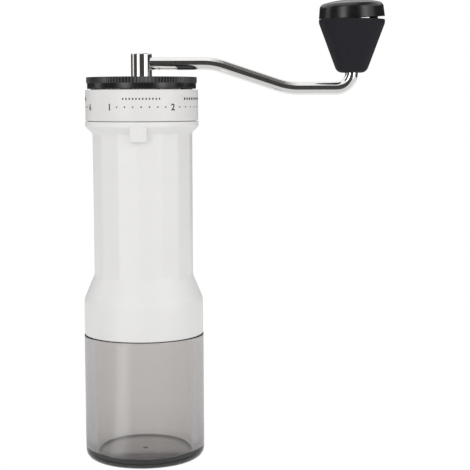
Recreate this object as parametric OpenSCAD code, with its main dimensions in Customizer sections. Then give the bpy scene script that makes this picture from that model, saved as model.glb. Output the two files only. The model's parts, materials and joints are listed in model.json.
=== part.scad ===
// Manual coffee grinder with a hand crank, a turning grind dial and a clear catch cup.
// Millimetres. The origin is the middle of the cup's underside, +Z is up, the crank arm
// points along +X and the index tab is on the -Y side.

/* [Burrs] */
// Outside diameter of the outer burr
burr_d = 38; // [36:0.5:42]
// Height of the outer burr
burr_h = 20; // [18:0.5:24]
// Wall of the outer burr at its upper face
throat_wall = 4.5; // [3.5:0.1:5.5]
// Wall of the outer burr at its lower face
mouth_wall = 2; // [1.5:0.1:3]
// Gap between the two burrs at the mouth
burr_gap = 0.6; // [0.4:0.05:1.2]
// Wall of the inner burr round the shaft at its top
crown_wall = 2.5; // [2:0.1:3.5]
// How far the inner burr stands above the outer burr
crown_rise = 1.5; // [0.5:0.1:3]
// How far the inner burr reaches below the outer burr
heel_drop = 0.5; // [0.2:0.1:1]
// Number of cutting grooves in each burr
cut_grooves = 24; // [16:1:30]
// Number of crushing grooves in the inner burr's crown
crush_grooves = 5; // [3:1:6]
// Width of a cutting groove
cut_groove_w = 1.1; // [0.6:0.1:1.4]
// Width of a crushing groove
crush_groove_w = 3; // [2:0.1:3.5]
// Depth of a cutting groove
groove_depth = 0.7; // [0.4:0.1:1]
// Lean of the grooves from the burr's own slope
groove_lean = 12; // [0:1:20]
// Length of a groove's cut as a share of the face's slant
groove_overrun = 1.2; // [1.1:0.05:1.4]
// Thickness of the plate under the outer burr
retainer_t = 2.5; // [1.5:0.1:3]
// How far the plate's bore stands back from the burr's mouth
retainer_step = 0.6; // [0.2:0.1:1]
// Thickness of the washer under the inner burr
washer_t = 1.2; // [0.8:0.1:2]
// Diameter of the washer under the inner burr
washer_d = 18; // [16:0.5:22]
// Width across the flats of the burr nut
nut_flats = 10; // [9:0.5:11]
// Thickness of the burr nut
nut_t = 4; // [3:0.1:5]

/* [Catch cup] */
// Height of the cup up to its shoulder
cup_h = 61; // [50:1:75]
// Wall of the cup at its floor, from which the bore opens up to the neck
cup_foot_wall = 5.8; // [5:0.1:7]
// Floor of the cup
cup_floor = 4; // [3:0.1:6]
// Outer radius of the cup's lower edge
cup_edge_r = 4.4; // [2:0.1:5]
// Inner radius between the cup's floor and wall
cup_corner_r = 0.9; // [0.5:0.1:3]
// Height of the cup's neck inside the skirt
cup_neck_h = 8; // [6:0.5:10]
// Wall of the cup's neck
cup_neck_wall = 2.2; // [1.8:0.1:2.8]
// Radial clearance between the cup's neck and the skirt
cup_fit = 0.25; // [0.15:0.05:0.4]
// How far the cup's outside stands proud of the band
cup_proud = 0.2; // [0:0.1:0.5]

/* [Housing] */
// Wall of the tube that holds the outer burr
tube_wall = 3.9; // [3.6:0.1:5]
// Radial gap between the burr tube and the cup's neck
tube_gap = 1.35; // [0.8:0.05:2]
// Wall of the skirt round the cup's neck
skirt_wall = 2.1; // [1.6:0.1:3]
// Seam between the cup's shoulder and the skirt
cup_seam = 0.3; // [0.2:0.05:0.5]
// Height of the outer burr's lower face above the skirt's edge
burr_recess = 5.2; // [4.8:0.1:7]
// Height of the straight band above the cup
band_h = 16.85; // [14:0.05:24]
// Height of the cone above the band
cone_h = 10.9; // [8:0.1:14]
// Number of sides of the column
column_sides = 15; // [13:1:24]
// Wall of the column at the middle of a side
column_wall = 2.2; // [1.8:0.1:3]
// Height of the column
column_h = 69.55; // [50:0.05:90]
// Height of the flare under the flange
flare_h = 3.1; // [2:0.1:5]
// Height of the flange
flange_h = 2.3; // [1.5:0.1:4]
// How far the flange stands proud of the dial
flange_lip = 0.2; // [0:0.1:0.5]
// Bore of the bean chamber
chamber_d = 43; // [40:0.5:46]
// Height of the funnel above the outer burr
funnel_h = 13.5; // [10:0.5:18]
// How far the funnel's lower end stands back from the burr's throat
funnel_step = 1; // [0.5:0.1:2]
// Width of the ledge that the bearing bridge sits on
ledge_w = 4; // [3.6:0.1:5]
// Wall of the neck inside the dial
neck_wall = 2.85; // [2.4:0.05:3.5]
// Width of the index tab
tab_w = 7.8; // [5:0.1:10]
// Height of the index tab
tab_h = 6.95; // [6:0.05:9]
// How far the index tab stands out from the column's corner
tab_reach = 2.9; // [2.6:0.1:3.6]

/* [Shaft and bearings] */
// Diameter of the drive shaft
shaft_d = 8; // [7:0.5:9]
// Diameter of the threaded lower end of the shaft
thread_d = 6; // [5:0.5:6.5]
// Width across the flats of the shaft's hexagon
hex_flats = 6; // [5:0.1:6.4]
// How far the shaft's end stands below the burr nut
shaft_tail = 0.8; // [0.4:0.1:2]
// Radial running clearance of shafts and spindles
run_fit = 0.05; // [0.02:0.01:0.1]
// Radial clearance of pieces that are seated or pressed together
seat_fit = 0.02; // [0.01:0.01:0.05]
// Wall of the lower bush
bush_wall = 2; // [1.5:0.1:3]
// Width of the lower bush's flange
bush_flange_w = 1.5; // [1:0.1:2]
// Thickness of the lower bush's flange
bush_flange_t = 1; // [0.8:0.1:1.5]
// Thickness of the bearing bridge
bridge_t = 4; // [3:0.1:6]
// Width of the bridge's arms
bridge_arm_w = 5; // [4:0.1:6]
// Wall of the bridge's hub round the bush
bridge_hub_wall = 4; // [3:0.1:5]
// How far the bridge's hub hangs below its arms
bridge_hub_drop = 3; // [2:0.1:4]
// Wire of the burr spring
spring_wire = 1; // [0.8:0.1:1.2]
// Gap between the burr spring and the shaft
spring_gap = 1.1; // [0.8:0.1:1.3]
// Turns of the burr spring
spring_turns = 4.5; // [3:0.5:5]
// Diameter of the pin that drives the inner burr
drive_pin_d = 2.5; // [2:0.1:3]
// Wall of each bearing race
race_wall = 1.2; // [1:0.1:1.5]
// Gap between the two bearing races
race_gap = 1.6; // [1.4:0.1:2]
// How far a ball sits in each race
race_bite = 0.2; // [0.1:0.05:0.3]
// Height of the upper bearing
bearing_h = 5; // [4:0.5:6]
// Number of balls in the upper bearing
bearing_ball_count = 9; // [7:1:10]

/* [Dial and carrier] */
// Height of the dial
dial_h = 14.7; // [13.8:0.1:18]
// Wall of the dial
dial_wall = 2.55; // [2.3:0.05:3.5]
// Radial running clearance between the dial and the neck
dial_fit = 0.1; // [0.05:0.01:0.1]
// Seam between the flange and the dial
dial_seam = 0.3; // [0.2:0.05:0.5]
// Chamfer on the dial's upper edge
dial_chamfer = 0.5; // [0.2:0.1:0.8]
// Travel of the carrier in one turn of the dial
thread_lead = 1.5; // [1:0.1:1.8]
// Angle between two clicks, in degrees
notch_pitch = 8.25; // [6:0.25:8.75]
// Clicks from rest to the finest stop
fine_clicks = 4; // [2:1:6]
// Clicks from rest to the coarsest stop
coarse_clicks = 36; // [24:1:36]
// Height of the carrier's lugs above the flange
lug_rise = 3.5; // [3.2:0.1:4.5]
// Height of the carrier's lugs
lug_h = 4.5; // [3.5:0.1:5]
// Width of the carrier's lugs
lug_w = 6; // [4:0.1:8]
// How far the lugs reach into the dial
lug_reach = 0.85; // [0.5:0.05:1.1]
// Room left round the lugs at the ends of their travel
lug_play = 0.25; // [0.15:0.05:0.4]
// Wall of the carrier's hub round the bearing
carrier_wall = 2.5; // [2:0.1:3.5]
// Lip of the carrier under the bearing
carrier_lip = 1; // [0.8:0.1:1.5]
// Diameter of the click ball
click_ball_d = 2; // [1.6:0.1:2.2]
// Depth of the dial's click notches
notch_depth = 0.35; // [0.2:0.05:0.5]
// How far the click ball's middle lies outside the dial's bore
click_inset = 0.85; // [0.8:0.05:1]
// Depth of the click ball's pocket
click_pocket_h = 7.5; // [6:0.1:9]
// Wire of the click spring
click_wire = 0.3; // [0.25:0.05:0.35]
// Turns of the click spring
click_turns = 6; // [4:1:8]
// Thickness of the ring that keeps the dial on
dial_clip_t = 1; // [0.8:0.1:1.2]
// How far that ring sits below the lid
dial_clip_drop = 0.8; // [0.6:0.1:1.2]
// How far that ring reaches over the dial
dial_clip_reach = 0.95; // [0.6:0.05:1]
// Depth of that ring's groove in the neck
dial_clip_groove = 0.6; // [0.4:0.05:0.8]

/* [Lid] */
// Gap between the dial and the lid
lid_gap = 0.4; // [0.2:0.05:0.8]
// Height of the lid's smooth lower ring
lid_ring_h = 2.7; // [2:0.1:4]
// Height of the lid's knurled rim
lid_rim_h = 2.9; // [2:0.1:4]
// How far the knurled rim stands back from the dial
lid_rim_step = 0.55; // [0.2:0.05:1]
// How far the smooth ring stands back from the dial
lid_ring_step = 0.95; // [0.6:0.05:1.5]
// Number of ridges on the rim
knurl_count = 108; // [60:1:140]
// Depth of the knurl
knurl_depth = 0.35; // [0.2:0.05:0.5]
// Thickness of the lid's top
lid_top_t = 3; // [2.4:0.1:4]
// Depth of the dish in the lid's top
lid_dish = 0.6; // [0.3:0.1:1]
// Width of the flat rim round the dish
lid_dish_margin = 2.5; // [2:0.1:4]
// Height of the lid's plug inside the neck
lid_plug_h = 4; // [3:0.1:4.5]
// Wall of the lid's plug
lid_plug_wall = 2.3; // [2:0.1:3]
// Radial clearance between the plug and the neck
lid_plug_fit = 0.2; // [0.15:0.05:0.3]
// Wall of the lid's boss round its bush
lid_boss_wall = 2; // [1.5:0.1:3]
// Wall of the lid's bush
lid_bush_wall = 1.95; // [1.5:0.05:2.5]
// Length of the lid's bush
lid_bush_h = 6.5; // [5:0.1:7]

/* [Crank] */
// Diameter of the hub above the lid
hub_d = 10; // [9.6:0.1:12]
// Height of the hub above the lid
hub_h = 11.2; // [10:0.1:14]
// Rounding of the hub's upper edge
hub_edge_r = 0.6; // [0.3:0.1:1]
// Diameter of the hub's spigot inside the lid
spigot_d = 9; // [8.6:0.1:9.4]
// Gap between the spigot and the carrier at its highest
spigot_gap = 1; // [0.5:0.1:1.5]
// Clearance across the flats between the socket and the hexagon
socket_fit = 0.1; // [0.06:0.02:0.2]
// How far the shaft's hexagon reaches into the hub
hex_reach = 1.2; // [0.5:0.1:1.6]
// Room above the hexagon in the socket
socket_room = 1.2; // [0.6:0.1:1.3]
// Diameter of the crank arm's rod
rod_d = 6; // [5:0.1:6.4]
// Height of the arm's inner end above the lid
rod_rise = 6.4; // [6:0.1:7]
// How far the rod's end passes the hub's axis
rod_root = 3; // [1:0.1:4]
// Distance from the hub's axis to the knob's spindle
crank_reach = 100.6; // [85:0.2:120]
// Distance from the hub's axis to the arm's first bend
first_bend_x = 34.4; // [30:0.2:42]
// Slope of the arm between its two bends
arm_slope = 18.5; // [16:0.5:25]
// How far the arm steps down
arm_drop = 12; // [8:0.2:14]
// Radius of the arm's two shallow bends
arm_bend_r = 32; // [20:1:40]
// Radius of the bend below the knob
end_bend_r = 7.4; // [6:0.1:10]

/* [Knob] */
// Height of the knob's cone
grip_h = 25.1; // [22:0.1:30]
// Diameter of the knob's lower end
grip_bottom_d = 14; // [13:0.1:17]
// Diameter of the knob's upper end
grip_top_d = 31.4; // [29:0.1:36]
// Height of the straight rim at the knob's upper end
grip_rim_h = 1.7; // [1:0.1:3]
// Rounding of the knob's lower edge
grip_edge_r = 2.3; // [1:0.1:2.6]
// Wall of the knob's bush
knob_bush_wall = 1.5; // [1:0.1:2]
// Length of the knob's bush
knob_bush_h = 16.3; // [12:0.1:17]
// Length of the spindle above its upper clip
spindle_tail = 1.5; // [1:0.1:1.6]
// Width of the bay for the spindle's upper clip
clip_bay_d = 12; // [11:0.1:14]
// Wall of the knob beside the cap's bay
cap_bay_wall = 3; // [2.4:0.1:4]
// Depth of the cap's bay
cap_bay_h = 3.9; // [3.4:0.1:4.5]
// How far the cap's edge stands back from the knob's rim
cap_step = 0; // [0:0.05:0.4]
// Height of the cap's side
cap_side_h = 4.3; // [3:0.1:6]
// How far the cap's side leans in
cap_draft = 0.45; // [0.2:0.05:0.8]
// Rounding of the cap's shoulder
cap_shoulder_r = 2.8; // [1:0.1:3]
// Full height of the cap
cap_h = 8.6; // [7.6:0.1:10]
// Thickness of the cap
cap_t = 2; // [1.5:0.1:2.5]
// Length of the cap's legs
cap_leg_h = 3; // [2:0.1:3.2]
// Thickness of the cap's legs
cap_leg_t = 1.2; // [1:0.1:1.6]
// Half the angle that each broad leg spans
cap_broad_leg = 36; // [20:1:40]
// Half the angle that each narrow leg spans
cap_narrow_leg = 16; // [8:1:30]
// Play between an upright cap's legs and the bay
cap_leg_play = 0.15; // [0.1:0.05:0.3]
// Tilt of the cap, in degrees
cap_tilt = 3.6; // [0:0.1:4]
// Direction of the cap's raised side from +X, in degrees
cap_tilt_dir = 45; // [0:1:360]

/* [Clips, seals and screws] */
// Thickness of the shaft and spindle clips
clip_t = 0.8; // [0.6:0.1:1]
// Depth of the shaft and spindle clip grooves
clip_groove = 0.6; // [0.4:0.05:0.7]
// How far a shaft or spindle clip stands out
clip_reach = 1.2; // [0.8:0.1:1.4]
// Thickness of the hub's clip
hub_clip_t = 1; // [0.8:0.1:1.2]
// Depth of the hub clip's groove
hub_clip_groove = 0.4; // [0.3:0.05:0.45]
// End play left beside a clip
clip_play = 0.1; // [0.05:0.01:0.2]
// Opening of a clip, in degrees
clip_opening = 40; // [20:1:60]
// Section of the cup's and the lid's seal rings
seal_d = 1.2; // [1:0.05:1.4]
// Diameter of the screws
screw_d = 2; // [1.6:0.1:2.4]
// Diameter of the screw heads
screw_head_d = 3.4; // [3:0.1:3.6]
// Height of the screw heads
screw_head_h = 1.3; // [1:0.1:1.5]
// Length of the screws
screw_l = 8; // [6:0.5:10]

/* [Hidden] */

$fn = 96;
// Overlap that lets a cut pass through a face
cut = 1;
// Number of straight steps that stand for a rounded corner
arc_steps = 8;
// Sides of a wire, and its steps in one turn
wire_sides = 6;
turn_steps = 16;
// Directions of the three arms of the bridge and the carrier
arm_angles = [90, 210, 330];

// Radii from the burr outwards
burr_r = burr_d / 2;
throat_r = burr_r - throat_wall;
mouth_r = burr_r - mouth_wall;
tube_r = burr_r + seat_fit + tube_wall;
cup_neck_bore_r = tube_r + tube_gap;
cup_neck_r = cup_neck_bore_r + cup_neck_wall;
skirt_bore_r = cup_neck_r + cup_fit;
band_r = skirt_bore_r + skirt_wall;
cup_r = band_r + cup_proud;
cup_floor_r = cup_r - cup_foot_wall;

// Radii from the bean chamber outwards
chamber_r = chamber_d / 2;
column_flat_r = chamber_r + column_wall;
column_corner_r = column_flat_r / cos(180 / column_sides);
neck_r = chamber_r + neck_wall;
dial_bore_r = neck_r + dial_fit;
dial_r = dial_bore_r + dial_wall;
flange_r = dial_r + flange_lip;
lug_r = dial_bore_r + lug_reach;
dial_groove_r = lug_r + lug_play;
click_r = dial_bore_r + click_inset;
ledge_r = chamber_r - ledge_w;

// Radii of the shaft and its bearings
shaft_r = shaft_d / 2;
inner_race_r = shaft_r + seat_fit + race_wall;
outer_race_bore_r = inner_race_r + race_gap;
bearing_r = outer_race_bore_r + race_wall;
race_mid_r = (inner_race_r + outer_race_bore_r) / 2;
bearing_ball_d = race_gap + 2 * race_bite;
carrier_hub_r = bearing_r + seat_fit + carrier_wall;
bush_bore_r = shaft_r + run_fit;
bush_r = bush_bore_r + bush_wall;
bridge_hub_r = bush_r + seat_fit + bridge_hub_wall;
crown_r = shaft_r + seat_fit + crown_wall;

// Heights from the cup up to the lid
skirt_z = cup_h + cup_seam;
cup_neck_z = cup_h + cup_neck_h;
cone_z = skirt_z + band_h;
column_z = cone_z + cone_h;
flare_z = column_z + column_h;
flange_z = flare_z + flare_h;
neck_z = flange_z + flange_h;
dial_z = neck_z + dial_seam;
dial_top_z = dial_z + dial_h;
lid_z = dial_top_z + lid_gap;
lid_rim_z = lid_z + lid_ring_h;
lid_top_z = lid_rim_z + lid_rim_h;

// Heights of the burrs and the bean chamber
burr_z = skirt_z + burr_recess;
burr_top_z = burr_z + burr_h;
retainer_z = burr_z - retainer_t;
ledge_z = burr_top_z + funnel_h;
bridge_top_z = ledge_z + bridge_t;
bridge_hub_z = ledge_z - bridge_hub_drop;
heel_z = burr_z - heel_drop;
crown_z = burr_top_z + crown_rise;
washer_z = heel_z - washer_t;
nut_z = washer_z - nut_t;
shaft_z = nut_z - shaft_tail;

// Heights and travel of the carrier
travel_up = thread_lead * fine_clicks * notch_pitch / 360;
travel_down = thread_lead * coarse_clicks * notch_pitch / 360;
lug_z = neck_z + lug_rise;
lug_top_z = lug_z + lug_h;
slot_z = lug_z - travel_down - lug_play;
slot_top_z = lug_top_z + travel_up + lug_play;
bearing_top_z = lug_top_z;
bearing_z = bearing_top_z - bearing_h;
carrier_z = bearing_z - carrier_lip;
circlip_groove_r = bearing_r + clip_groove;
carrier_top_z = bearing_top_z + clip_t + seat_fit + carrier_lip;
dial_clip_z = lid_z - dial_clip_drop - dial_clip_t;
dial_clip_groove_r = neck_r - dial_clip_groove;

// Heights of the click ball, drawn pressed down under the dial
click_ball_z = dial_z - run_fit - click_ball_d / 2;
click_pocket_z = neck_z - click_pocket_h;
click_spring_r = click_ball_d / 2 - click_wire;

// Lid, hub and hexagon
lid_rim_r = dial_r - lid_rim_step;
lid_ring_r = dial_r - lid_ring_step;
lid_plug_r = chamber_r - lid_plug_fit;
lid_plug_z = lid_z - lid_plug_h;
lid_seal_z = lid_plug_z + lid_plug_h / 2;
lid_seal_r = chamber_r - run_fit - seal_d / 2;
spigot_r = spigot_d / 2;
lid_bush_bore_r = spigot_r + run_fit;
lid_bush_r = lid_bush_bore_r + lid_bush_wall;
lid_boss_r = lid_bush_r + seat_fit + lid_boss_wall;
lid_bush_z = lid_top_z - lid_bush_h;
hub_clip_z = lid_bush_z - clip_play - hub_clip_t;
hub_z = lid_top_z + clip_play;
spigot_z = carrier_top_z + travel_up + spigot_gap;
hex_z = bearing_top_z + clip_t + carrier_lip;
hex_top_z = hub_z + hex_reach;
socket_top_z = hex_top_z + socket_room;

// Crank arm in the plane of +X and +Z
rod_r = rod_d / 2;
bend_swell = 0.03;
run_lap = 0.4;
arm_z = lid_top_z + rod_rise;
arm_low_z = arm_z - arm_drop;
bend_tangent = arm_bend_r * tan(arm_slope / 2);
second_bend_x = first_bend_x + arm_drop / tan(arm_slope);
slope_dir = [cos(arm_slope), -sin(arm_slope)];
first_bend_in = [first_bend_x - bend_tangent, arm_z];
first_bend_out = [first_bend_x, arm_z] + bend_tangent * slope_dir;
second_bend_in = [second_bend_x, arm_low_z] - bend_tangent * slope_dir;
second_bend_out = [second_bend_x + bend_tangent, arm_low_z];
end_bend_in = [crank_reach - end_bend_r, arm_low_z];
end_bend_out = [crank_reach, arm_low_z + end_bend_r];

// Knob on its spindle
grip_z = arm_low_z + end_bend_r;
grip_top_z = grip_z + grip_h;
grip_top_r = grip_top_d / 2;
grip_bottom_r = grip_bottom_d / 2;
spindle_clip_r = rod_r + clip_reach;
lower_clip_z = grip_z + clip_t;
knob_bush_z = lower_clip_z + clip_t + clip_play;
knob_bush_bore_r = rod_r + run_fit;
knob_bush_r = knob_bush_bore_r + knob_bush_wall;
knob_bush_top_z = knob_bush_z + knob_bush_h;
upper_clip_z = knob_bush_top_z + clip_play;
spindle_top_z = upper_clip_z + clip_t + spindle_tail;
cap_bay_z = grip_top_z - cap_bay_h;
cap_bay_r = grip_top_r - cap_bay_wall;
cap_r = grip_top_r - cap_step;
// Room that the tilted cap's legs need inside the bay
cap_leg_fit = cap_leg_play + cap_leg_h * sin(cap_tilt);

// Points of a round stretch in a profile
function arc(centre, r, from, to) = [
    for (i = [0 : arc_steps])
        let (a = from + (to - from) * i / arc_steps)
            centre + r * [cos(a), sin(a)]
];

// Points of a ring of alternating outer and inner corners
function ridges(count, outer_r, inner_r) = [
    for (i = [0 : 2 * count - 1])
        let (r = i % 2 == 0 ? outer_r : inner_r, a = 180 * i / count)
            r * [cos(a), sin(a)]
];

// Straight round tube
module tube(outer_r, inner_r, z, top_z) {
    translate([0, 0, z])
        difference() {
            cylinder(r = outer_r, h = top_z - z);
            translate([0, 0, -cut])
                cylinder(r = inner_r, h = top_z - z + 2 * cut);
        }
}

// Solid round bar, or a cutter for a bore
module bar(r, z, top_z) {
    translate([0, 0, z])
        cylinder(r = r, h = top_z - z);
}

// Open spring clip with its opening towards +Y
module clip(inner_r, outer_r, z, t) {
    translate([0, 0, z])
        rotate([0, 0, 90 + clip_opening / 2])
            rotate_extrude(angle = 360 - clip_opening)
                translate([inner_r, 0])
                    square([outer_r - inner_r, t]);
}

// Round seal ring of the common section
module seal_ring(r, z) {
    translate([0, 0, z])
        rotate_extrude()
            translate([r, 0])
                circle(d = seal_d, $fn = 32);
}

// Groove for a seal ring, open to the outside
module seal_groove(r, z) {
    tube(r + seal_d, r - seal_d / 2 - run_fit, z - seal_d / 2 - run_fit, z + seal_d / 2 + run_fit);
}

// Three screws on a circle with their heads at z, pointing up or down
module screw_set(circle_r, z, up) {
    for (a = arm_angles)
        rotate([0, 0, a])
            translate([circle_r, 0, z])
                mirror([0, 0, up ? 0 : 1]) {
                    translate([0, 0, -screw_head_h])
                        difference() {
                            cylinder(d = screw_head_d, h = screw_head_h);
                            translate([0, 0, -cut])
                                cylinder(d = screw_d, h = cut + screw_head_h / 2, $fn = 6);
                        }
                    cylinder(d = screw_d, h = screw_l);
                }
}

// Three screw holes on a circle, from z down to low_z
module screw_holes(circle_r, low_z, z) {
    for (a = arm_angles)
        rotate([0, 0, a])
            translate([circle_r, 0, 0])
                bar(screw_d / 2 + seat_fit, low_z, z);
}

// Three flat arms from the axis out to a radius
module arms(width, r, z, top_z) {
    intersection() {
        bar(r, z, top_z);
        for (a = arm_angles)
            rotate([0, 0, a])
                translate([0, -width / 2, z])
                    cube([r + cut, width, top_z - z]);
    }
}

// Round wire wound about the Z axis, from z to top_z
module coil(mean_r, wire, z, top_z, turns) {
    sides = wire_sides;
    rings = round(turn_steps * turns);
    rise = top_z - z - wire;
    points = [
        for (i = [0 : rings])
            for (j = [0 : sides - 1])
                let (
                    a = 360 * turns * i / rings,
                    b = 360 * j / sides,
                    r = mean_r + wire / 2 * cos(b)
                )
                    [r * cos(a), r * sin(a), z + wire / 2 + rise * i / rings + wire / 2 * sin(b)]
    ];
    walls = [
        for (i = [0 : rings - 1])
            for (j = [0 : sides - 1])
                let (
                    low = i * sides,
                    high = low + sides,
                    next = (j + 1) % sides
                )
                    each [
                        [low + j, low + next, high + next],
                        [low + j, high + next, high + j]
                    ]
    ];
    first_end = [for (j = [1 : sides - 2]) [0, j + 1, j]];
    last = rings * sides;
    last_end = [for (j = [1 : sides - 2]) [last, last + j, last + j + 1]];
    polyhedron(points, concat(walls, first_end, last_end));
}

// Grooves cut into a conical burr face, leaning to one side
module burr_grooves(count, width, depth, r_low, r_high, z, top_z) {
    slope = atan((r_high - r_low) / (top_z - z));
    length = norm([r_high - r_low, top_z - z]);
    for (i = [0 : count - 1])
        rotate([0, 0, 360 * i / count])
            translate([(r_low + r_high) / 2, 0, (z + top_z) / 2])
                rotate([0, slope, 0])
                    rotate([groove_lean, 0, 0])
                        cube([2 * depth, width, length * groove_overrun], center = true);
}

// White body: skirt, cone, fifteen-sided column, flange, neck and index tab
module housing() {
    cone_slope = (band_r - column_corner_r) / cone_h;
    flare_slope = (flange_r - column_corner_r) / flare_h;
    corner_step = column_corner_r - column_flat_r;
    color("whitesmoke")
        difference() {
            union() {
                rotate_extrude()
                    polygon([
                        [0, skirt_z],
                        [band_r, skirt_z],
                        [band_r, cone_z],
                        [column_flat_r, column_z + corner_step / cone_slope],
                        [0, column_z + corner_step / cone_slope]
                    ]);
                translate([0, 0, cone_z])
                    linear_extrude(flange_z - cone_z)
                        polygon([
                            for (i = [0 : column_sides - 1])
                                let (a = 360 * i / column_sides - 90)
                                    column_corner_r * [cos(a), sin(a)]
                        ]);
                rotate_extrude()
                    polygon([
                        [0, flare_z - corner_step / flare_slope],
                        [column_flat_r, flare_z - corner_step / flare_slope],
                        [flange_r, flange_z],
                        [flange_r, neck_z],
                        [neck_r, neck_z],
                        [neck_r, lid_z],
                        [0, lid_z]
                    ]);
                translate([-tab_w / 2, -column_corner_r - tab_reach, flange_z - tab_h])
                    cube([tab_w, tab_reach + column_wall, tab_h]);
            }
            tube(skirt_bore_r, tube_r, skirt_z - cut, cup_neck_z);
            bar(tube_r + cut, skirt_z - cut, burr_z);
            bar(burr_r + seat_fit, skirt_z - cut, burr_top_z);
            translate([0, 0, burr_top_z - seat_fit])
                cylinder(r1 = throat_r + funnel_step, r2 = ledge_r, h = funnel_h + 2 * seat_fit);
            bar(chamber_r, ledge_z, lid_z + cut);
            for (a = arm_angles)
                rotate([0, 0, a])
                    translate([chamber_r - cut, -lug_w / 2 - dial_fit, slot_z])
                        cube([neck_wall + 2 * cut, lug_w + 2 * dial_fit, lid_z - slot_z + cut]);
            tube(neck_r + cut, dial_clip_groove_r,
                dial_clip_z - seat_fit, dial_clip_z + dial_clip_t + seat_fit);
            translate([0, -click_r, 0])
                bar(click_ball_d / 2 + run_fit, click_pocket_z, neck_z + cut);
            screw_holes(burr_r + tube_wall / 2, burr_z - cut, burr_z + screw_l);
            screw_holes(chamber_r - ledge_w / 2, ledge_z - screw_l, ledge_z + cut);
        }
}

// Fixed ring burr with a conical, grooved bore
module outer_burr() {
    color("dimgray")
        difference() {
            bar(burr_r, burr_z, burr_top_z);
            translate([0, 0, burr_z])
                cylinder(r1 = mouth_r, r2 = throat_r, h = burr_h);
            burr_grooves(cut_grooves, cut_groove_w, groove_depth, mouth_r, throat_r, burr_z, burr_top_z);
        }
}

// Plate that holds the outer burr up in its tube
module burr_retainer() {
    color("silver")
        difference() {
            tube(tube_r, mouth_r + retainer_step, retainer_z, burr_z);
            screw_holes(burr_r + tube_wall / 2, retainer_z - cut, burr_z + cut);
        }
}

// Screws of the burr retainer
module burr_screws() {
    color("silver")
        screw_set(burr_r + tube_wall / 2, retainer_z, true);
}

// Three-armed bridge that carries the shaft's lower bush
module bearing_bridge() {
    ring_r = chamber_r - dial_fit;
    color("gainsboro")
        difference() {
            union() {
                tube(ring_r, ledge_r, ledge_z, bridge_top_z);
                arms(bridge_arm_w, ledge_r + cut, ledge_z, bridge_top_z);
                bar(bridge_hub_r, bridge_hub_z, bridge_top_z);
            }
            bar(bush_r + seat_fit, bridge_hub_z - cut, bridge_top_z + cut);
            screw_holes(chamber_r - ledge_w / 2, ledge_z - cut, bridge_top_z + cut);
        }
}

// Screws of the bearing bridge
module bridge_screws() {
    color("silver")
        screw_set(chamber_r - ledge_w / 2, bridge_top_z, false);
}

// Flanged plain bush for the lower end of the shaft
module lower_bush() {
    color("peru")
        difference() {
            union() {
                bar(bush_r, bridge_hub_z, bridge_top_z);
                bar(bush_r + bush_flange_w, bridge_top_z, bridge_top_z + bush_flange_t);
            }
            bar(bush_bore_r, bridge_hub_z - cut, bridge_top_z + bush_flange_t + cut);
        }
}

// Ring in the neck's groove that keeps the dial down
module dial_clip() {
    color("silver")
        clip(dial_clip_groove_r + seat_fit, dial_bore_r + dial_clip_reach, dial_clip_z, dial_clip_t);
}

// Spring under the click ball
module detent_spring() {
    color("silver")
        translate([0, -click_r, 0])
            coil(click_spring_r, click_wire, click_pocket_z, click_ball_z - click_ball_d / 2, click_turns);
}

// Click ball in the index tab, pressed down under the dial
module detent_ball() {
    color("silver")
        translate([0, -click_r, click_ball_z])
            sphere(d = click_ball_d);
}

// White grind dial with the lug groove inside and the click notches below
module dial_ring() {
    notch_r = click_ball_d / 2 + run_fit;
    color("whitesmoke")
        difference() {
            rotate_extrude()
                polygon([
                    [dial_bore_r, dial_z],
                    [dial_r, dial_z],
                    [dial_r, dial_top_z - dial_chamfer],
                    [dial_r - dial_chamfer, dial_top_z],
                    [dial_groove_r, dial_top_z],
                    [dial_groove_r, dial_clip_z - run_fit],
                    [dial_bore_r, dial_clip_z - run_fit],
                    [dial_bore_r, slot_top_z],
                    [dial_groove_r, slot_top_z],
                    [dial_groove_r, slot_z],
                    [dial_bore_r, slot_z]
                ]);
            for (i = [-fine_clicks : coarse_clicks])
                rotate([0, 0, i * notch_pitch])
                    translate([0, -click_r, dial_z + notch_depth - notch_r])
                        sphere(r = notch_r);
        }
}

// Three-armed carrier of the upper bearing, with lugs that reach into the dial
module bearing_carrier() {
    color("gainsboro")
        difference() {
            union() {
                bar(carrier_hub_r, carrier_z, carrier_top_z);
                arms(lug_w, lug_r, lug_z, lug_top_z);
            }
            bar(outer_race_bore_r + seat_fit, carrier_z - cut, bearing_z + cut);
            bar(bearing_r + seat_fit, bearing_z, carrier_top_z + cut);
            bar(circlip_groove_r, bearing_top_z, bearing_top_z + clip_t + seat_fit);
        }
}

// Ball track shared by the two races
module race_track() {
    translate([0, 0, bearing_z + bearing_h / 2])
        rotate_extrude()
            translate([race_mid_r, 0])
                circle(d = bearing_ball_d + 2 * run_fit, $fn = 32);
}

// Outer race of the upper bearing
module bearing_outer_race() {
    color("silver")
        difference() {
            tube(bearing_r, outer_race_bore_r, bearing_z, bearing_top_z);
            race_track();
        }
}

// Balls of the upper bearing
module bearing_balls() {
    color("silver")
        for (i = [0 : bearing_ball_count - 1])
            rotate([0, 0, 360 * i / bearing_ball_count])
                translate([race_mid_r, 0, bearing_z + bearing_h / 2])
                    sphere(d = bearing_ball_d);
}

// Ring that keeps the bearing in the carrier
module bearing_circlip() {
    color("silver")
        clip(outer_race_bore_r + seat_fit, circlip_groove_r - seat_fit, bearing_top_z, clip_t);
}

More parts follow.
